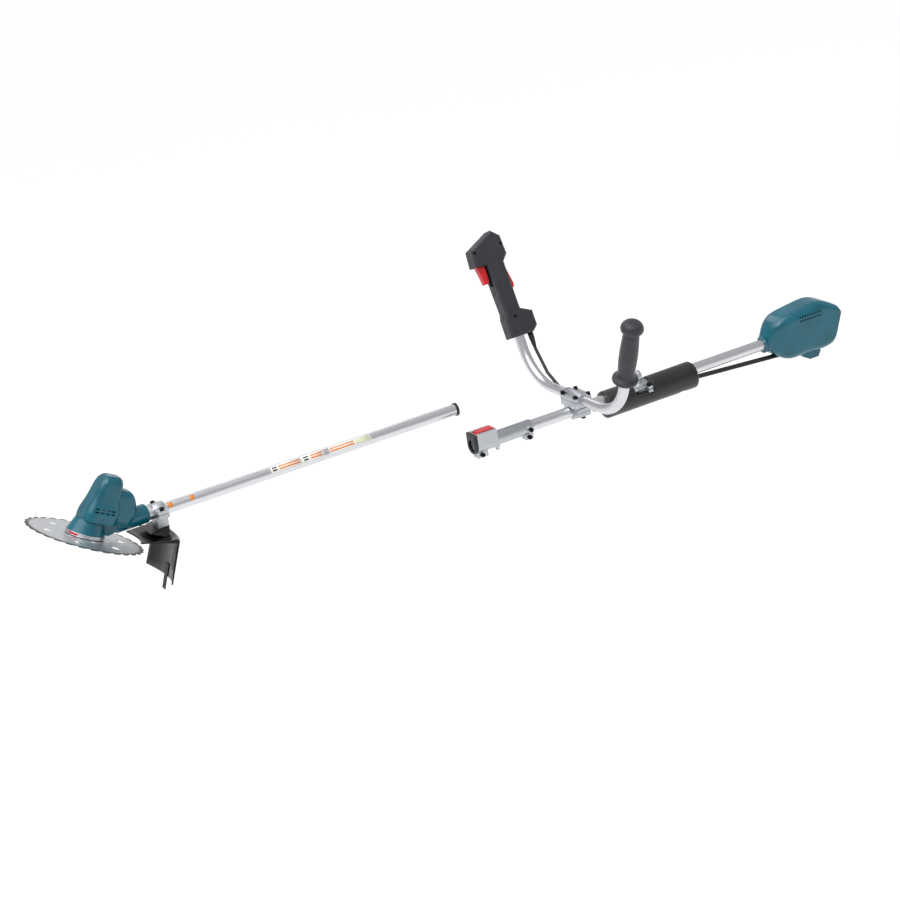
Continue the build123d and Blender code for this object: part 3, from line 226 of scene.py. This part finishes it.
# %% Plastic finishes
def moulded_plastic(name, dark, light, rough, grain_mm, depth_mm, ior=1.53):
    """A moulding: slow colour and gloss changes, and a surface grain of a real size and depth."""
    material, tree, shader = new_material(name, {"IOR": ior, "Roughness": rough})
    place = add_node(tree, "ShaderNodeTexCoord").outputs["Object"]
    slow = add_node(tree, "ShaderNodeTexNoise", {"Scale": per_mm(45), "Detail": 4.0}, {"Vector": place})
    shade = add_node(tree, "ShaderNodeValToRGB", links={"Fac": slow.outputs["Fac"]})
    shade.color_ramp.elements[0].position = 0.35
    shade.color_ramp.elements[0].color = linear(dark)
    shade.color_ramp.elements[1].position = 0.65
    shade.color_ramp.elements[1].color = linear(light)
    tree.links.new(shade.outputs["Color"], shader.inputs["Base Color"])
    wiped = add_node(tree, "ShaderNodeTexNoise", {"Scale": per_mm(14), "Detail": 6.0}, {"Vector": place})
    gloss = add_node(tree, "ShaderNodeMapRange", {"From Min": 0.3, "From Max": 0.7, "To Min": rough * 0.85,
                                                  "To Max": rough * 1.2}, {"Value": wiped.outputs["Fac"]})
    tree.links.new(gloss.outputs["Result"], shader.inputs["Roughness"])
    pitted = add_node(tree, "ShaderNodeTexNoise", {"Scale": per_mm(grain_mm), "Detail": 3.0},
                      {"Vector": place})
    bump = add_node(tree, "ShaderNodeBump", {"Strength": 0.6, "Distance": depth_mm * MM},
                    {"Height": pitted.outputs["Fac"]})
    tree.links.new(bump.outputs["Normal"], shader.inputs["Normal"])
    return material


# polished ABS, so the key light leaves a clear soft-edged highlight
teal_abs = moulded_plastic("teal_gloss_abs", "#005465", "#006073", 0.25, 6.0, 0.12)
# the same moulding in red, for what the fingers work
red_abs = moulded_plastic("red_gloss_abs", "#BE1119", "#CF171F", 0.3, 5.0, 0.08)
# glass-filled nylon from a spark-eroded mould, so it is even, dark and half matt
black_nylon = moulded_plastic("black_grained_nylon", "#151618", "#1C1D20", 0.46, 0.9, 0.06)
# the trigger grip's nylon is charcoal and has the same fine grain
charcoal_nylon = moulded_plastic("charcoal_grained_nylon", "#24262D", "#2B2D35", 0.5, 0.9, 0.08)
# the guard is a big polished polypropylene moulding: nearly black, with broad highlights
guard_polypropylene = moulded_plastic("black_gloss_polypropylene", "#040405", "#09090B", 0.24, 9.0, 0.2,
                                      ior=1.49)
print("plastics:", teal_abs.name, red_abs.name, black_nylon.name, charcoal_nylon.name)

# %% [markdown]
# ## Rubber and foam
# The left grip is a soft sleeve, and the cables have a smooth PVC jacket. Rubber scatters light in a
# thin sheen at its edges, so these finishes get a little sheen on the shader's own socket. The hip
# pad is moulded foam with a satin skin, with fine closed cells about 1.5 mm across under it.

# %% Rubber and foam finishes
def soft_rubber(name, dark, light, rough, grain_mm, depth_mm, sheen):
    """A rubber or foam skin: mottled, with a cell or grain pattern and a soft edge sheen."""
    material, tree, shader = new_material(name, {"IOR": 1.5, "Roughness": rough, "Sheen Weight": sheen,
                                                 "Sheen Roughness": 0.45})
    place = add_node(tree, "ShaderNodeTexCoord").outputs["Object"]
    mottle = add_node(tree, "ShaderNodeTexNoise", {"Scale": per_mm(22), "Detail": 5.0}, {"Vector": place})
    shade = add_node(tree, "ShaderNodeValToRGB", links={"Fac": mottle.outputs["Fac"]})
    shade.color_ramp.elements[0].position = 0.35
    shade.color_ramp.elements[0].color = linear(dark)
    shade.color_ramp.elements[1].position = 0.68
    shade.color_ramp.elements[1].color = linear(light)
    tree.links.new(shade.outputs["Color"], shader.inputs["Base Color"])
    cells = add_node(tree, "ShaderNodeTexVoronoi", {"Scale": per_mm(grain_mm)}, {"Vector": place})
    bump = add_node(tree, "ShaderNodeBump", {"Strength": 0.5, "Distance": depth_mm * MM},
                    {"Height": cells.outputs["Distance"]})
    tree.links.new(bump.outputs["Normal"], shader.inputs["Normal"])
    return material


grip_elastomer = soft_rubber("charcoal_grip_elastomer", "#24262D", "#2C2E36", 0.5, 1.2, 0.08, 0.15)
cable_pvc = soft_rubber("black_pvc_jacket", "#121214", "#1A1A1D", 0.42, 2.5, 0.03, 0.05)
seal_elastomer = soft_rubber("black_seal_rubber", "#161618", "#1E1E20", 0.62, 0.8, 0.05, 0.15)
pad_foam = soft_rubber("black_foam_skin", "#141416", "#1D1D21", 0.4, 1.5, 0.05, 0.12)
print("rubbers:", grip_elastomer.name, cable_pvc.name, seal_elastomer.name, pad_foam.name)

# %% [markdown]
# ## Metals
# The shaft is drawn and anodised aluminium tube. Drawing leaves fine lines along it, so that
# pattern is a noise stretched along X. The handlebar is bent from the same kind of tube, but its
# lines turn with each bend, so it gets an even satin instead. Castings are shot-blasted, which
# leaves small dents about 1.2 mm across. Screws are blackened steel.

# %% Metal finishes
def worked_metal(name, dark, light, rough, grain_mm, depth_mm, stretch=(1, 1, 1), swing=0.25):
    """A metal: its grain drives colour, gloss and relief together. A stretch makes lines of it."""
    material, tree, shader = new_material(name, {"Metallic": 1.0, "Roughness": rough})
    coordinates = add_node(tree, "ShaderNodeTexCoord")
    place = add_node(tree, "ShaderNodeMapping", {"Scale": stretch},
                     {"Vector": coordinates.outputs["Object"]})
    marks = add_node(tree, "ShaderNodeTexNoise", {"Scale": per_mm(grain_mm), "Detail": 4.0},
                     {"Vector": place.outputs["Vector"]})
    shade = add_node(tree, "ShaderNodeValToRGB", links={"Fac": marks.outputs["Fac"]})
    shade.color_ramp.elements[0].position = 0.3
    shade.color_ramp.elements[0].color = linear(dark)
    shade.color_ramp.elements[1].position = 0.7
    shade.color_ramp.elements[1].color = linear(light)
    tree.links.new(shade.outputs["Color"], shader.inputs["Base Color"])
    gloss = add_node(tree, "ShaderNodeMapRange",
                     {"From Min": 0.3, "From Max": 0.7, "To Min": rough * (1 + swing),
                      "To Max": rough * (1 - swing)}, {"Value": marks.outputs["Fac"]})
    tree.links.new(gloss.outputs["Result"], shader.inputs["Roughness"])
    bump = add_node(tree, "ShaderNodeBump", {"Strength": 0.5, "Distance": depth_mm * MM},
                    {"Height": marks.outputs["Fac"]})
    tree.links.new(bump.outputs["Normal"], shader.inputs["Normal"])
    return material


ALONG_SHAFT = (0.02, 1, 1)
drawn_tube = worked_metal("anodised_drawn_tube", "#CFD0D5", "#DDDEE2", 0.3, 1.0, 0.015, ALONG_SHAFT)
bent_tube = worked_metal("anodised_bent_tube", "#CDCED3", "#DADBE0", 0.32, 0.8, 0.01)
blasted_casting = worked_metal("shot_blasted_casting", "#AEB2B8", "#C6C9CE", 0.42, 1.2, 0.09)
machined_casting = worked_metal("machined_casting", "#B9BDC2", "#CFD2D6", 0.34, 1.0, 0.04)
black_steel = worked_metal("black_oxide_steel", "#1A1B1D", "#26272A", 0.4, 0.8, 0.02)
turned_steel = worked_metal("turned_steel", "#B4B6B9", "#D0D1D3", 0.26, 0.5, 0.015)
brass = worked_metal("contact_brass", "#B08836", "#C49C4C", 0.28, 0.8, 0.015)
print("metals:", drawn_tube.name, blasted_casting.name, black_steel.name, turned_steel.name)

# %% [markdown]
# ## The ground steel blade
# A saw blade is ground while it turns, so its scratches are rings round its middle. The pattern
# works from the distance to the blade's own axis: a Mapping node of the Texture kind moves the
# blade's centre to zero and takes its tilt away, and a one-dimensional noise of that distance makes
# rings. The hardened teeth beyond the rings stay a darker grey.

# %% Blade finish
BLADE_TILT = math.radians(28)
TOOTH_ROOT = 105 * MM
TOOTH_FADE = 4 * MM
blade_low, blade_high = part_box("blade")
blade_middle = (Vector(blade_low) + Vector(blade_high)) / 2

ground_steel, blade_tree, blade_shader = new_material("ground_blade_steel",
                                                      {"Metallic": 1.0, "Roughness": 0.3})
blade_place = add_node(blade_tree, "ShaderNodeMapping",
                       {"vector_type": "TEXTURE", "Location": blade_middle, "Rotation": (0, BLADE_TILT, 0)},
                       {"Vector": add_node(blade_tree, "ShaderNodeTexCoord").outputs["Object"]})
blade_flat = add_node(blade_tree, "ShaderNodeVectorMath", {"operation": "MULTIPLY"},
                      {0: blade_place.outputs["Vector"]})
blade_flat.inputs[1].default_value = (1, 1, 0)
blade_radius = add_node(blade_tree, "ShaderNodeVectorMath", {"operation": "LENGTH"},
                        {0: blade_flat.outputs["Vector"]})
rings = add_node(blade_tree, "ShaderNodeTexNoise",
                 {"noise_dimensions": "1D", "Scale": per_mm(0.9), "Detail": 5.0},
                 {"W": blade_radius.outputs["Value"]})
blade_shade = add_node(blade_tree, "ShaderNodeValToRGB", links={"Fac": rings.outputs["Fac"]})
blade_shade.color_ramp.elements[0].position = 0.3
blade_shade.color_ramp.elements[0].color = linear("#CDD0D4")
blade_shade.color_ramp.elements[1].position = 0.7
blade_shade.color_ramp.elements[1].color = linear("#EBECEE")
teeth = add_node(blade_tree, "ShaderNodeMapRange",
                 {"From Min": TOOTH_ROOT, "From Max": TOOTH_ROOT + TOOTH_FADE},
                 {"Value": blade_radius.outputs["Value"]})
blade_colour = add_node(blade_tree, "ShaderNodeMix", {"data_type": "RGBA"},
                        {0: teeth.outputs["Result"], 6: blade_shade.outputs["Color"]})
blade_colour.inputs[7].default_value = linear("#6E7175")
blade_tree.links.new(blade_colour.outputs[2], blade_shader.inputs["Base Color"])
blade_gloss = add_node(blade_tree, "ShaderNodeMapRange",
                       {"From Min": 0.3, "From Max": 0.7, "To Min": 0.46, "To Max": 0.32},
                       {"Value": rings.outputs["Fac"]})
blade_tree.links.new(blade_gloss.outputs["Result"], blade_shader.inputs["Roughness"])
blade_bump = add_node(blade_tree, "ShaderNodeBump", {"Strength": 0.4, "Distance": 0.02 * MM},
                      {"Height": rings.outputs["Fac"]})
blade_tree.links.new(blade_bump.outputs["Normal"], blade_shader.inputs["Normal"])
print("blade middle", [round(v, 4) for v in blade_middle])

# %% [markdown]
# ## Electrical parts
# The control board inside the rear housing is green solder mask over copper, with small square
# pads. A Voronoi pattern with square cells about 4 mm across stands for them.

# %% Circuit board finish
board_mask, board_tree, board_shader = new_material("green_solder_mask", {"IOR": 1.5, "Roughness": 0.35})
board_place = add_node(board_tree, "ShaderNodeTexCoord").outputs["Object"]
board_pads = add_node(board_tree, "ShaderNodeTexVoronoi",
                      {"distance": "CHEBYCHEV", "Scale": per_mm(4), "Randomness": 0.6},
                      {"Vector": board_place})
board_shade = add_node(board_tree, "ShaderNodeValToRGB", links={"Fac": board_pads.outputs["Distance"]})
board_shade.color_ramp.elements[0].position = 0.14
board_shade.color_ramp.elements[0].color = linear("#B08D3C")
board_shade.color_ramp.elements[1].position = 0.2
board_shade.color_ramp.elements[1].color = linear("#1E5A38")
board_tree.links.new(board_shade.outputs["Color"], board_shader.inputs["Base Color"])
print("board:", board_mask.name)

# %% [markdown]
# ## Each part takes its finish
# Every CAD part names a finish slot, so most parts are finished straight from that name. Two
# differ from the rest of their slot: the handlebar is bent tube, and the line cutter is blackened.

# %% Finish the CAD parts
FINISHES = {
    "teal_housing": teal_abs, "red_plastic": red_abs, "black_plastic": black_nylon,
    "grip_plastic": charcoal_nylon, "grip_rubber": grip_elastomer, "guard_plastic": guard_polypropylene,
    "pipe_aluminium": drawn_tube, "cast_aluminium": blasted_casting, "bright_aluminium": machined_casting,
    "bolt_steel": black_steel, "bright_steel": turned_steel, "blade_steel": ground_steel,
    "foam": pad_foam, "cable_rubber": cable_pvc, "seal_rubber": seal_elastomer,
    "circuit": board_mask, "contact_brass": brass,
}
for part in frame["record"]["subparts"]:
    finish_node(part["node"], FINISHES[part["material_slot"]])
finish_node("handlebar", bent_tube)
finish_node("line_cutter", black_steel)
print("finished", len(nodes), "parts with", len(FINISHES) + 1, "finishes")

# %% [markdown]
# ## Eased edges
# No moulding or casting has a knife edge. The CAD parts are exact, so their edges are sharp, and a
# sharp edge catches no light. A Weld modifier joins each part's loose triangles and a Bevel modifier
# then rounds only the real corners, those that turn by more than its angle limit.

# %% Ease the edges
EDGE_TURN = math.radians(32)
EASED = {
    "grip_shell_inner": 1.2, "grip_shell_outer": 1.2, "trigger": 0.9, "lock_lever": 0.9,
    "release_lever": 0.8, "handle_base": 0.7, "handle_cap": 0.7, "handle_strap": 0.6,
    "coupler_body": 0.7, "coupler_bezel": 0.6, "pipe_clamp": 0.7, "guard_bracket": 0.7,
    "guard": 0.8, "gear_case": 0.5, "hanger": 0.6,
}
for part_name, width in EASED.items():
    join = nodes[part_name].modifiers.new("joined_triangles", "WELD")
    join.merge_threshold = 0.002 * MM
    ease = nodes[part_name].modifiers.new("eased_edges", "BEVEL")
    ease.width = width * MM
    ease.segments = 2
    ease.limit_method = "ANGLE"
    ease.angle_limit = EDGE_TURN
    ease.harden_normals = True
print("eased", len(EASED), "parts")

# %% [markdown]
# ## The foam hip pad
# The pad is a thick foam sleeve slipped over the pipe, with a window for the harness eye, a groove
# for the cables, and a few moulded ribs at its front end. The CAD solid has the right size but hard
# edges, so we copy it, join its loose triangles, and remesh the copy with small voxels. Smoothing
# then rounds every edge as moulded foam is rounded. The ribs are pressed in afterwards, because a
# remesh would wash them out.

# %% Copy and soften the pad
PAD_VOXEL = 2.0 * MM
PAD_SEAM = 0.005 * MM


def copied_node(node_name, piece_name):
    """A copy of a CAD node as a new piece, with its loose triangles joined."""
    mesh = bmesh.new()
    mesh.from_mesh(nodes[node_name].data)
    bmesh.ops.remove_doubles(mesh, verts=mesh.verts, dist=PAD_SEAM)
    bmesh.ops.recalc_face_normals(mesh, faces=mesh.faces)
    return mesh_object(piece_name, mesh)


def settle(piece):
    """Applies a piece's modifiers to its mesh."""
    bpy.context.view_layer.update()
    evaluated = piece.evaluated_get(bpy.context.evaluated_depsgraph_get())
    settled = bpy.data.meshes.new_from_object(evaluated)
    piece.modifiers.clear()
    piece.data = settled
    for polygon in settled.polygons:
        polygon.use_smooth = True


pad = copied_node("hip_pad", "hip_pad_foam")
remesh = pad.modifiers.new("fine_skin", "REMESH")
remesh.mode = "VOXEL"
remesh.voxel_size = PAD_VOXEL
rounding = pad.modifiers.new("rounded_edges", "SMOOTH")
rounding.factor = 0.5
rounding.iterations = 6
settle(pad)
print("pad skin:", len(pad.data.vertices), "points")

# %% [markdown]
# ### Pad ribs
# The ribs are shallow grooves round the front end, 8 mm apart. Each point of the outer skin moves
# towards the pad's own axis by a smooth wave of the distance along it. The skin also dips slightly
# in its middle, because foam held at both ends is never quite straight.

# %% Press the ribs in
PAD_LOW, PAD_HIGH = (Vector(corner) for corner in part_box("hip_pad"))
PAD_RADIUS = (PAD_HIGH.y - PAD_LOW.y) / 2
PAD_AXIS_Z = PAD_LOW.z + PAD_RADIUS
RIB_PITCH = 8 * MM
RIB_DEPTH = 1.1 * MM
RIBBED_LENGTH = 48 * MM
RIB_RUN_IN = 4 * MM
PAD_SAG = 0.5 * MM
OUTER_SKIN = 0.9
for vertex in pad.data.vertices:
    spoke = Vector((0, vertex.co.y, vertex.co.z - PAD_AXIS_Z))
    if spoke.length < PAD_RADIUS * OUTER_SKIN:
        continue
    along = vertex.co.x - PAD_LOW.x
    fade = min(1.0, max(0.0, (RIBBED_LENGTH - along) / RIB_PITCH)) * min(1.0, along / RIB_RUN_IN)
    groove = fade * RIB_DEPTH * (0.5 + 0.5 * math.cos(2 * math.pi * along / RIB_PITCH)) ** 2
    sag = PAD_SAG * math.sin(math.pi * min(1.0, along / (PAD_HIGH.x - PAD_LOW.x)))
    vertex.co -= spoke.normalized() * (groove + sag)
pad.data.materials.clear()
pad.data.materials.append(pad_foam)
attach(pad, "upper_unit")
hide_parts("hip_pad")
print("ribs every", RIB_PITCH / MM, "mm")

# %% [markdown]
# ## The tapered strain relief
# Where the switch cable leaves the trigger grip, a soft rubber sleeve stops it from kinking. Real
# ones taper and carry grooves, so that they bend evenly. We spin a stepped profile round the
# cable's axis: a bmesh edge chain is spun through a full turn and closes on itself. The sleeve
# reaches a little further down the cable than the plain solid that it stands for.

# %% Spin the strain relief
GRIP_LEAN = math.radians(22.6)
CABLE_HOLE = 3.5 * MM
RELIEF_GROOVES = 5
RELIEF_TAIL = 18 * MM
RELIEF_COLLAR = 20 * MM
RELIEF_UNTAPERED = 21 * MM
RELIEF_WALL = 1.2 * MM
RELIEF_LIP = 0.6 * MM
GROOVE_DEPTH = 0.8 * MM
GROOVE_START = 0.55
GROOVE_FLOOR = 0.6
GROOVE_SLOPE = 0.05


def spun_ring(piece_name, profile, middle, axis, steps=48):
    """A closed profile of (radius, height) points, spun a full turn round an axis, as a new piece."""
    mesh = bmesh.new()
    corners = [mesh.verts.new((radius, 0, height)) for radius, height in profile]
    edges = [mesh.edges.new((corners[i - 1], corners[i])) for i in range(len(corners))]
    bmesh.ops.spin(mesh, geom=corners + edges, cent=(0, 0, 0), axis=(0, 0, 1), angle=math.tau, steps=steps,
                   use_merge=True)
    bmesh.ops.remove_doubles(mesh, verts=mesh.verts, dist=0.002 * MM)
    bmesh.ops.recalc_face_normals(mesh, faces=mesh.faces)
    turn = Vector((0, 0, 1)).rotation_difference(axis).to_matrix()
    bmesh.ops.transform(mesh, verts=mesh.verts, matrix=Matrix.Translation(middle) @ turn.to_4x4())
    for face in mesh.faces:
        face.smooth = True
    return mesh_object(piece_name, mesh)


relief_low, relief_high = (Vector(corner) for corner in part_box("strain_relief"))
relief_middle = (relief_low + relief_high) / 2
relief_axis = Vector((0, math.sin(GRIP_LEAN), math.cos(GRIP_LEAN)))
relief_radius = (relief_high.x - relief_low.x) / 2
relief_height = relief_high.z - relief_low.z - 2 * relief_radius * math.sin(GRIP_LEAN)
relief_length = relief_height / math.cos(GRIP_LEAN)
relief_length += RELIEF_TAIL
relief_middle -= relief_axis * RELIEF_TAIL / 2
print("strain relief:", round(relief_length / MM, 1), "mm long, radius", round(relief_radius / MM, 1), "mm")

relief_outline = [(CABLE_HOLE, relief_length / 2), (relief_radius, relief_length / 2)]
taper_top = relief_length / 2 - RELIEF_COLLAR
taper_run = relief_length - RELIEF_UNTAPERED
for groove in range(RELIEF_GROOVES):
    top = taper_top - groove * taper_run / RELIEF_GROOVES
    low = top - taper_run / RELIEF_GROOVES
    wide = relief_radius - (relief_radius - CABLE_HOLE - RELIEF_WALL) * (groove + 0.5) / RELIEF_GROOVES
    narrow = wide - GROOVE_DEPTH
    relief_outline += [(wide, top), (wide, top - GROOVE_START * (top - low)),
                       (narrow, top - GROOVE_FLOOR * (top - low)),
                       (narrow, low + GROOVE_SLOPE * (top - low))]
relief_outline += [(CABLE_HOLE + RELIEF_LIP, -relief_length / 2), (CABLE_HOLE, -relief_length / 2)]
relief = spun_ring("strain_relief_sleeve", relief_outline, relief_middle, relief_axis)
relief.data.materials.append(cable_pvc)
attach(relief, "upper_unit")
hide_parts("strain_relief")

# %% [markdown]
# ## Film labels on the lower pipe
# Plain film patches stand where a real machine carries its notices. They have no words or signs.
# Printed vinyl is a flat glossy ink whose shade changes a little where hands have rubbed it.

# %% Label film finish
def printed_film(name, colour, worn):
    """Glossy printed vinyl: a flat ink with faint wear where it has been rubbed."""
    material, tree, shader = new_material(name, {"IOR": 1.46, "Roughness": 0.32})
    place = add_node(tree, "ShaderNodeTexCoord").outputs["Object"]
    rubbed = add_node(tree, "ShaderNodeTexNoise", {"Scale": per_mm(5), "Detail": 6.0}, {"Vector": place})
    ink = add_node(tree, "ShaderNodeValToRGB", links={"Fac": rubbed.outputs["Fac"]})
    ink.color_ramp.elements[0].position = 0.5
    ink.color_ramp.elements[0].color = linear(colour)
    ink.color_ramp.elements[1].position = 0.8
    ink.color_ramp.elements[1].color = linear(worn)
    tree.links.new(ink.outputs["Color"], shader.inputs["Base Color"])
    return material


orange_film = printed_film("orange_vinyl", "#E8842A", "#EE9A4C")
white_film = printed_film("white_vinyl", "#EDEDEA", "#E2E2DE")
lime_film = printed_film("pale_lime_vinyl", "#D9DDA4", "#CDD198")
black_film = printed_film("black_vinyl", "#1B1B1D", "#29292C")
red_film = printed_film("red_vinyl", "#C5161D", "#CB2A30")
print("films:", orange_film.name, white_film.name, lime_film.name, black_film.name, red_film.name)

# %% [markdown]
# ### Wrapping the film
# A patch is a thin curved strip: a straight edge along the pipe is spun part of a turn round the
# pipe's axis, then given the film's thickness by a Solidify modifier, so it hugs the tube. The bars
# lie on top of the white patches, one film's thickness further out, in two rows.

# %% Wrap the labels round the pipe
pipe_low, pipe_high = (Vector(corner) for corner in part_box("lower_pipe"))
PIPE_RADIUS = (pipe_high.y - pipe_low.y) / 2
PIPE_MIDDLE = (pipe_low + pipe_high) / 2
FILM = 0.12 * MM
FILM_GAP = 0.03 * MM
NEAR_SIDE = math.radians(140)


def spun_film(name, ends, middle, axis, turn, film, body):
    """A strip of film: a straight edge spun part of a turn round an axis, then given its thickness."""
    mesh = bmesh.new()
    edge = [mesh.verts.new(end) for end in ends]
    mesh.edges.new(edge)
    bmesh.ops.spin(mesh, geom=edge + mesh.edges[:], cent=middle, axis=axis, angle=turn, steps=16)
    bmesh.ops.recalc_face_normals(mesh, faces=mesh.faces)
    first_face = mesh.faces[:][0]
    outwards = first_face.calc_center_median() - Vector(middle)
    outwards -= outwards.dot(axis) * Vector(axis)
    if first_face.normal.dot(outwards) < 0:
        bmesh.ops.reverse_faces(mesh, faces=mesh.faces)
    for face in mesh.faces:
        face.smooth = True
    strip = mesh_object(name, mesh)
    strip.data.materials.append(film)
    thickness = strip.modifiers.new("film_thickness", "SOLIDIFY")
    thickness.thickness = FILM
    thickness.offset = 1
    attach(strip, body)
    return strip


def wrapped_label(name, from_tip, length, half_turn, facing, film, lift=0.0):
    """A patch of film on the lower pipe. It starts from_tip mm behind the pipe's open end."""
    radius = PIPE_RADIUS + FILM_GAP + lift
    rim = PIPE_MIDDLE + radius * Vector((0, math.cos(facing - half_turn), math.sin(facing - half_turn)))
    start = pipe_high.x - from_tip * MM
    return spun_film(name, [(start, rim.y, rim.z), (start - length * MM, rim.y, rim.z)], PIPE_MIDDLE,
                     (1, 0, 0), 2 * half_turn, film, "lower_unit")


# name, distance from the pipe's open end, length, half of its turn in degrees, film
BACKING = [
    ("label_backing_rear", 204, 94, 34, white_film),
    ("label_backing_middle", 310, 50, 34, white_film),
    ("label_backing_front", 360, 68, 34, white_film),
    ("label_orange_small_rear", 594, 9, 26, orange_film),
    ("label_orange_small_front", 640, 9, 26, orange_film),
    ("label_white_clamp", 656, 10, 26, white_film),
]
# name, distance, length, film; each makes an upper and a lower bar
BARS = [
    ("rear", 242, 54, orange_film),
    ("lime", 208, 30, lime_film),
    ("middle", 314, 26, orange_film),
    ("sign_middle", 345, 10, black_film),
    ("front", 364, 46, orange_film),
    ("sign_front", 414, 10, black_film),
]
BAR_TURNS = (("upper", -13), ("lower", 13))
BAR_HALF_TURN = math.radians(7)
for label_name, from_tip, length, half_turn, film in BACKING:
    wrapped_label(label_name, from_tip, length, math.radians(half_turn), NEAR_SIDE, film)
for bar_name, from_tip, length, film in BARS:
    for row, turn in BAR_TURNS:
        wrapped_label(f"label_bar_{bar_name}_{row}", from_tip, length, BAR_HALF_TURN,
                      NEAR_SIDE + math.radians(turn), film, lift=FILM)
print("wrapped", len(BACKING), "patches and", len(BAR_TURNS) * len(BARS), "bars round a pipe of radius",
      round(PIPE_RADIUS / MM, 2), "mm")

# %% [markdown]
# ## The red mark on the gear case
# The grey rim over the blade carries a short red band, on the front left. It is the same kind of
# film strip, spun round the blade's tilted axis instead of the pipe's.

# %% Red band on the rim
BLADE_AXIS = Vector((math.sin(BLADE_TILT), 0, math.cos(BLADE_TILT)))
FORWARD = Vector((-math.cos(BLADE_TILT), 0, math.sin(BLADE_TILT)))
RIM_RADIUS = 38 * MM
BAND_LOW = 3.4 * MM
BAND_HIGH = 7.6 * MM
BAND_START = math.radians(12)
BAND_TURN = math.radians(34)
band_spoke = Matrix.Rotation(BAND_START, 3, BLADE_AXIS) @ FORWARD * (RIM_RADIUS + FILM_GAP)
spun_film("rim_band", [blade_middle + band_spoke + height * BLADE_AXIS for height in (BAND_LOW, BAND_HIGH)],
          blade_middle, BLADE_AXIS, BAND_TURN, red_film, "lower_unit")
print("rim band spans", round(math.degrees(BAND_TURN)), "degrees")
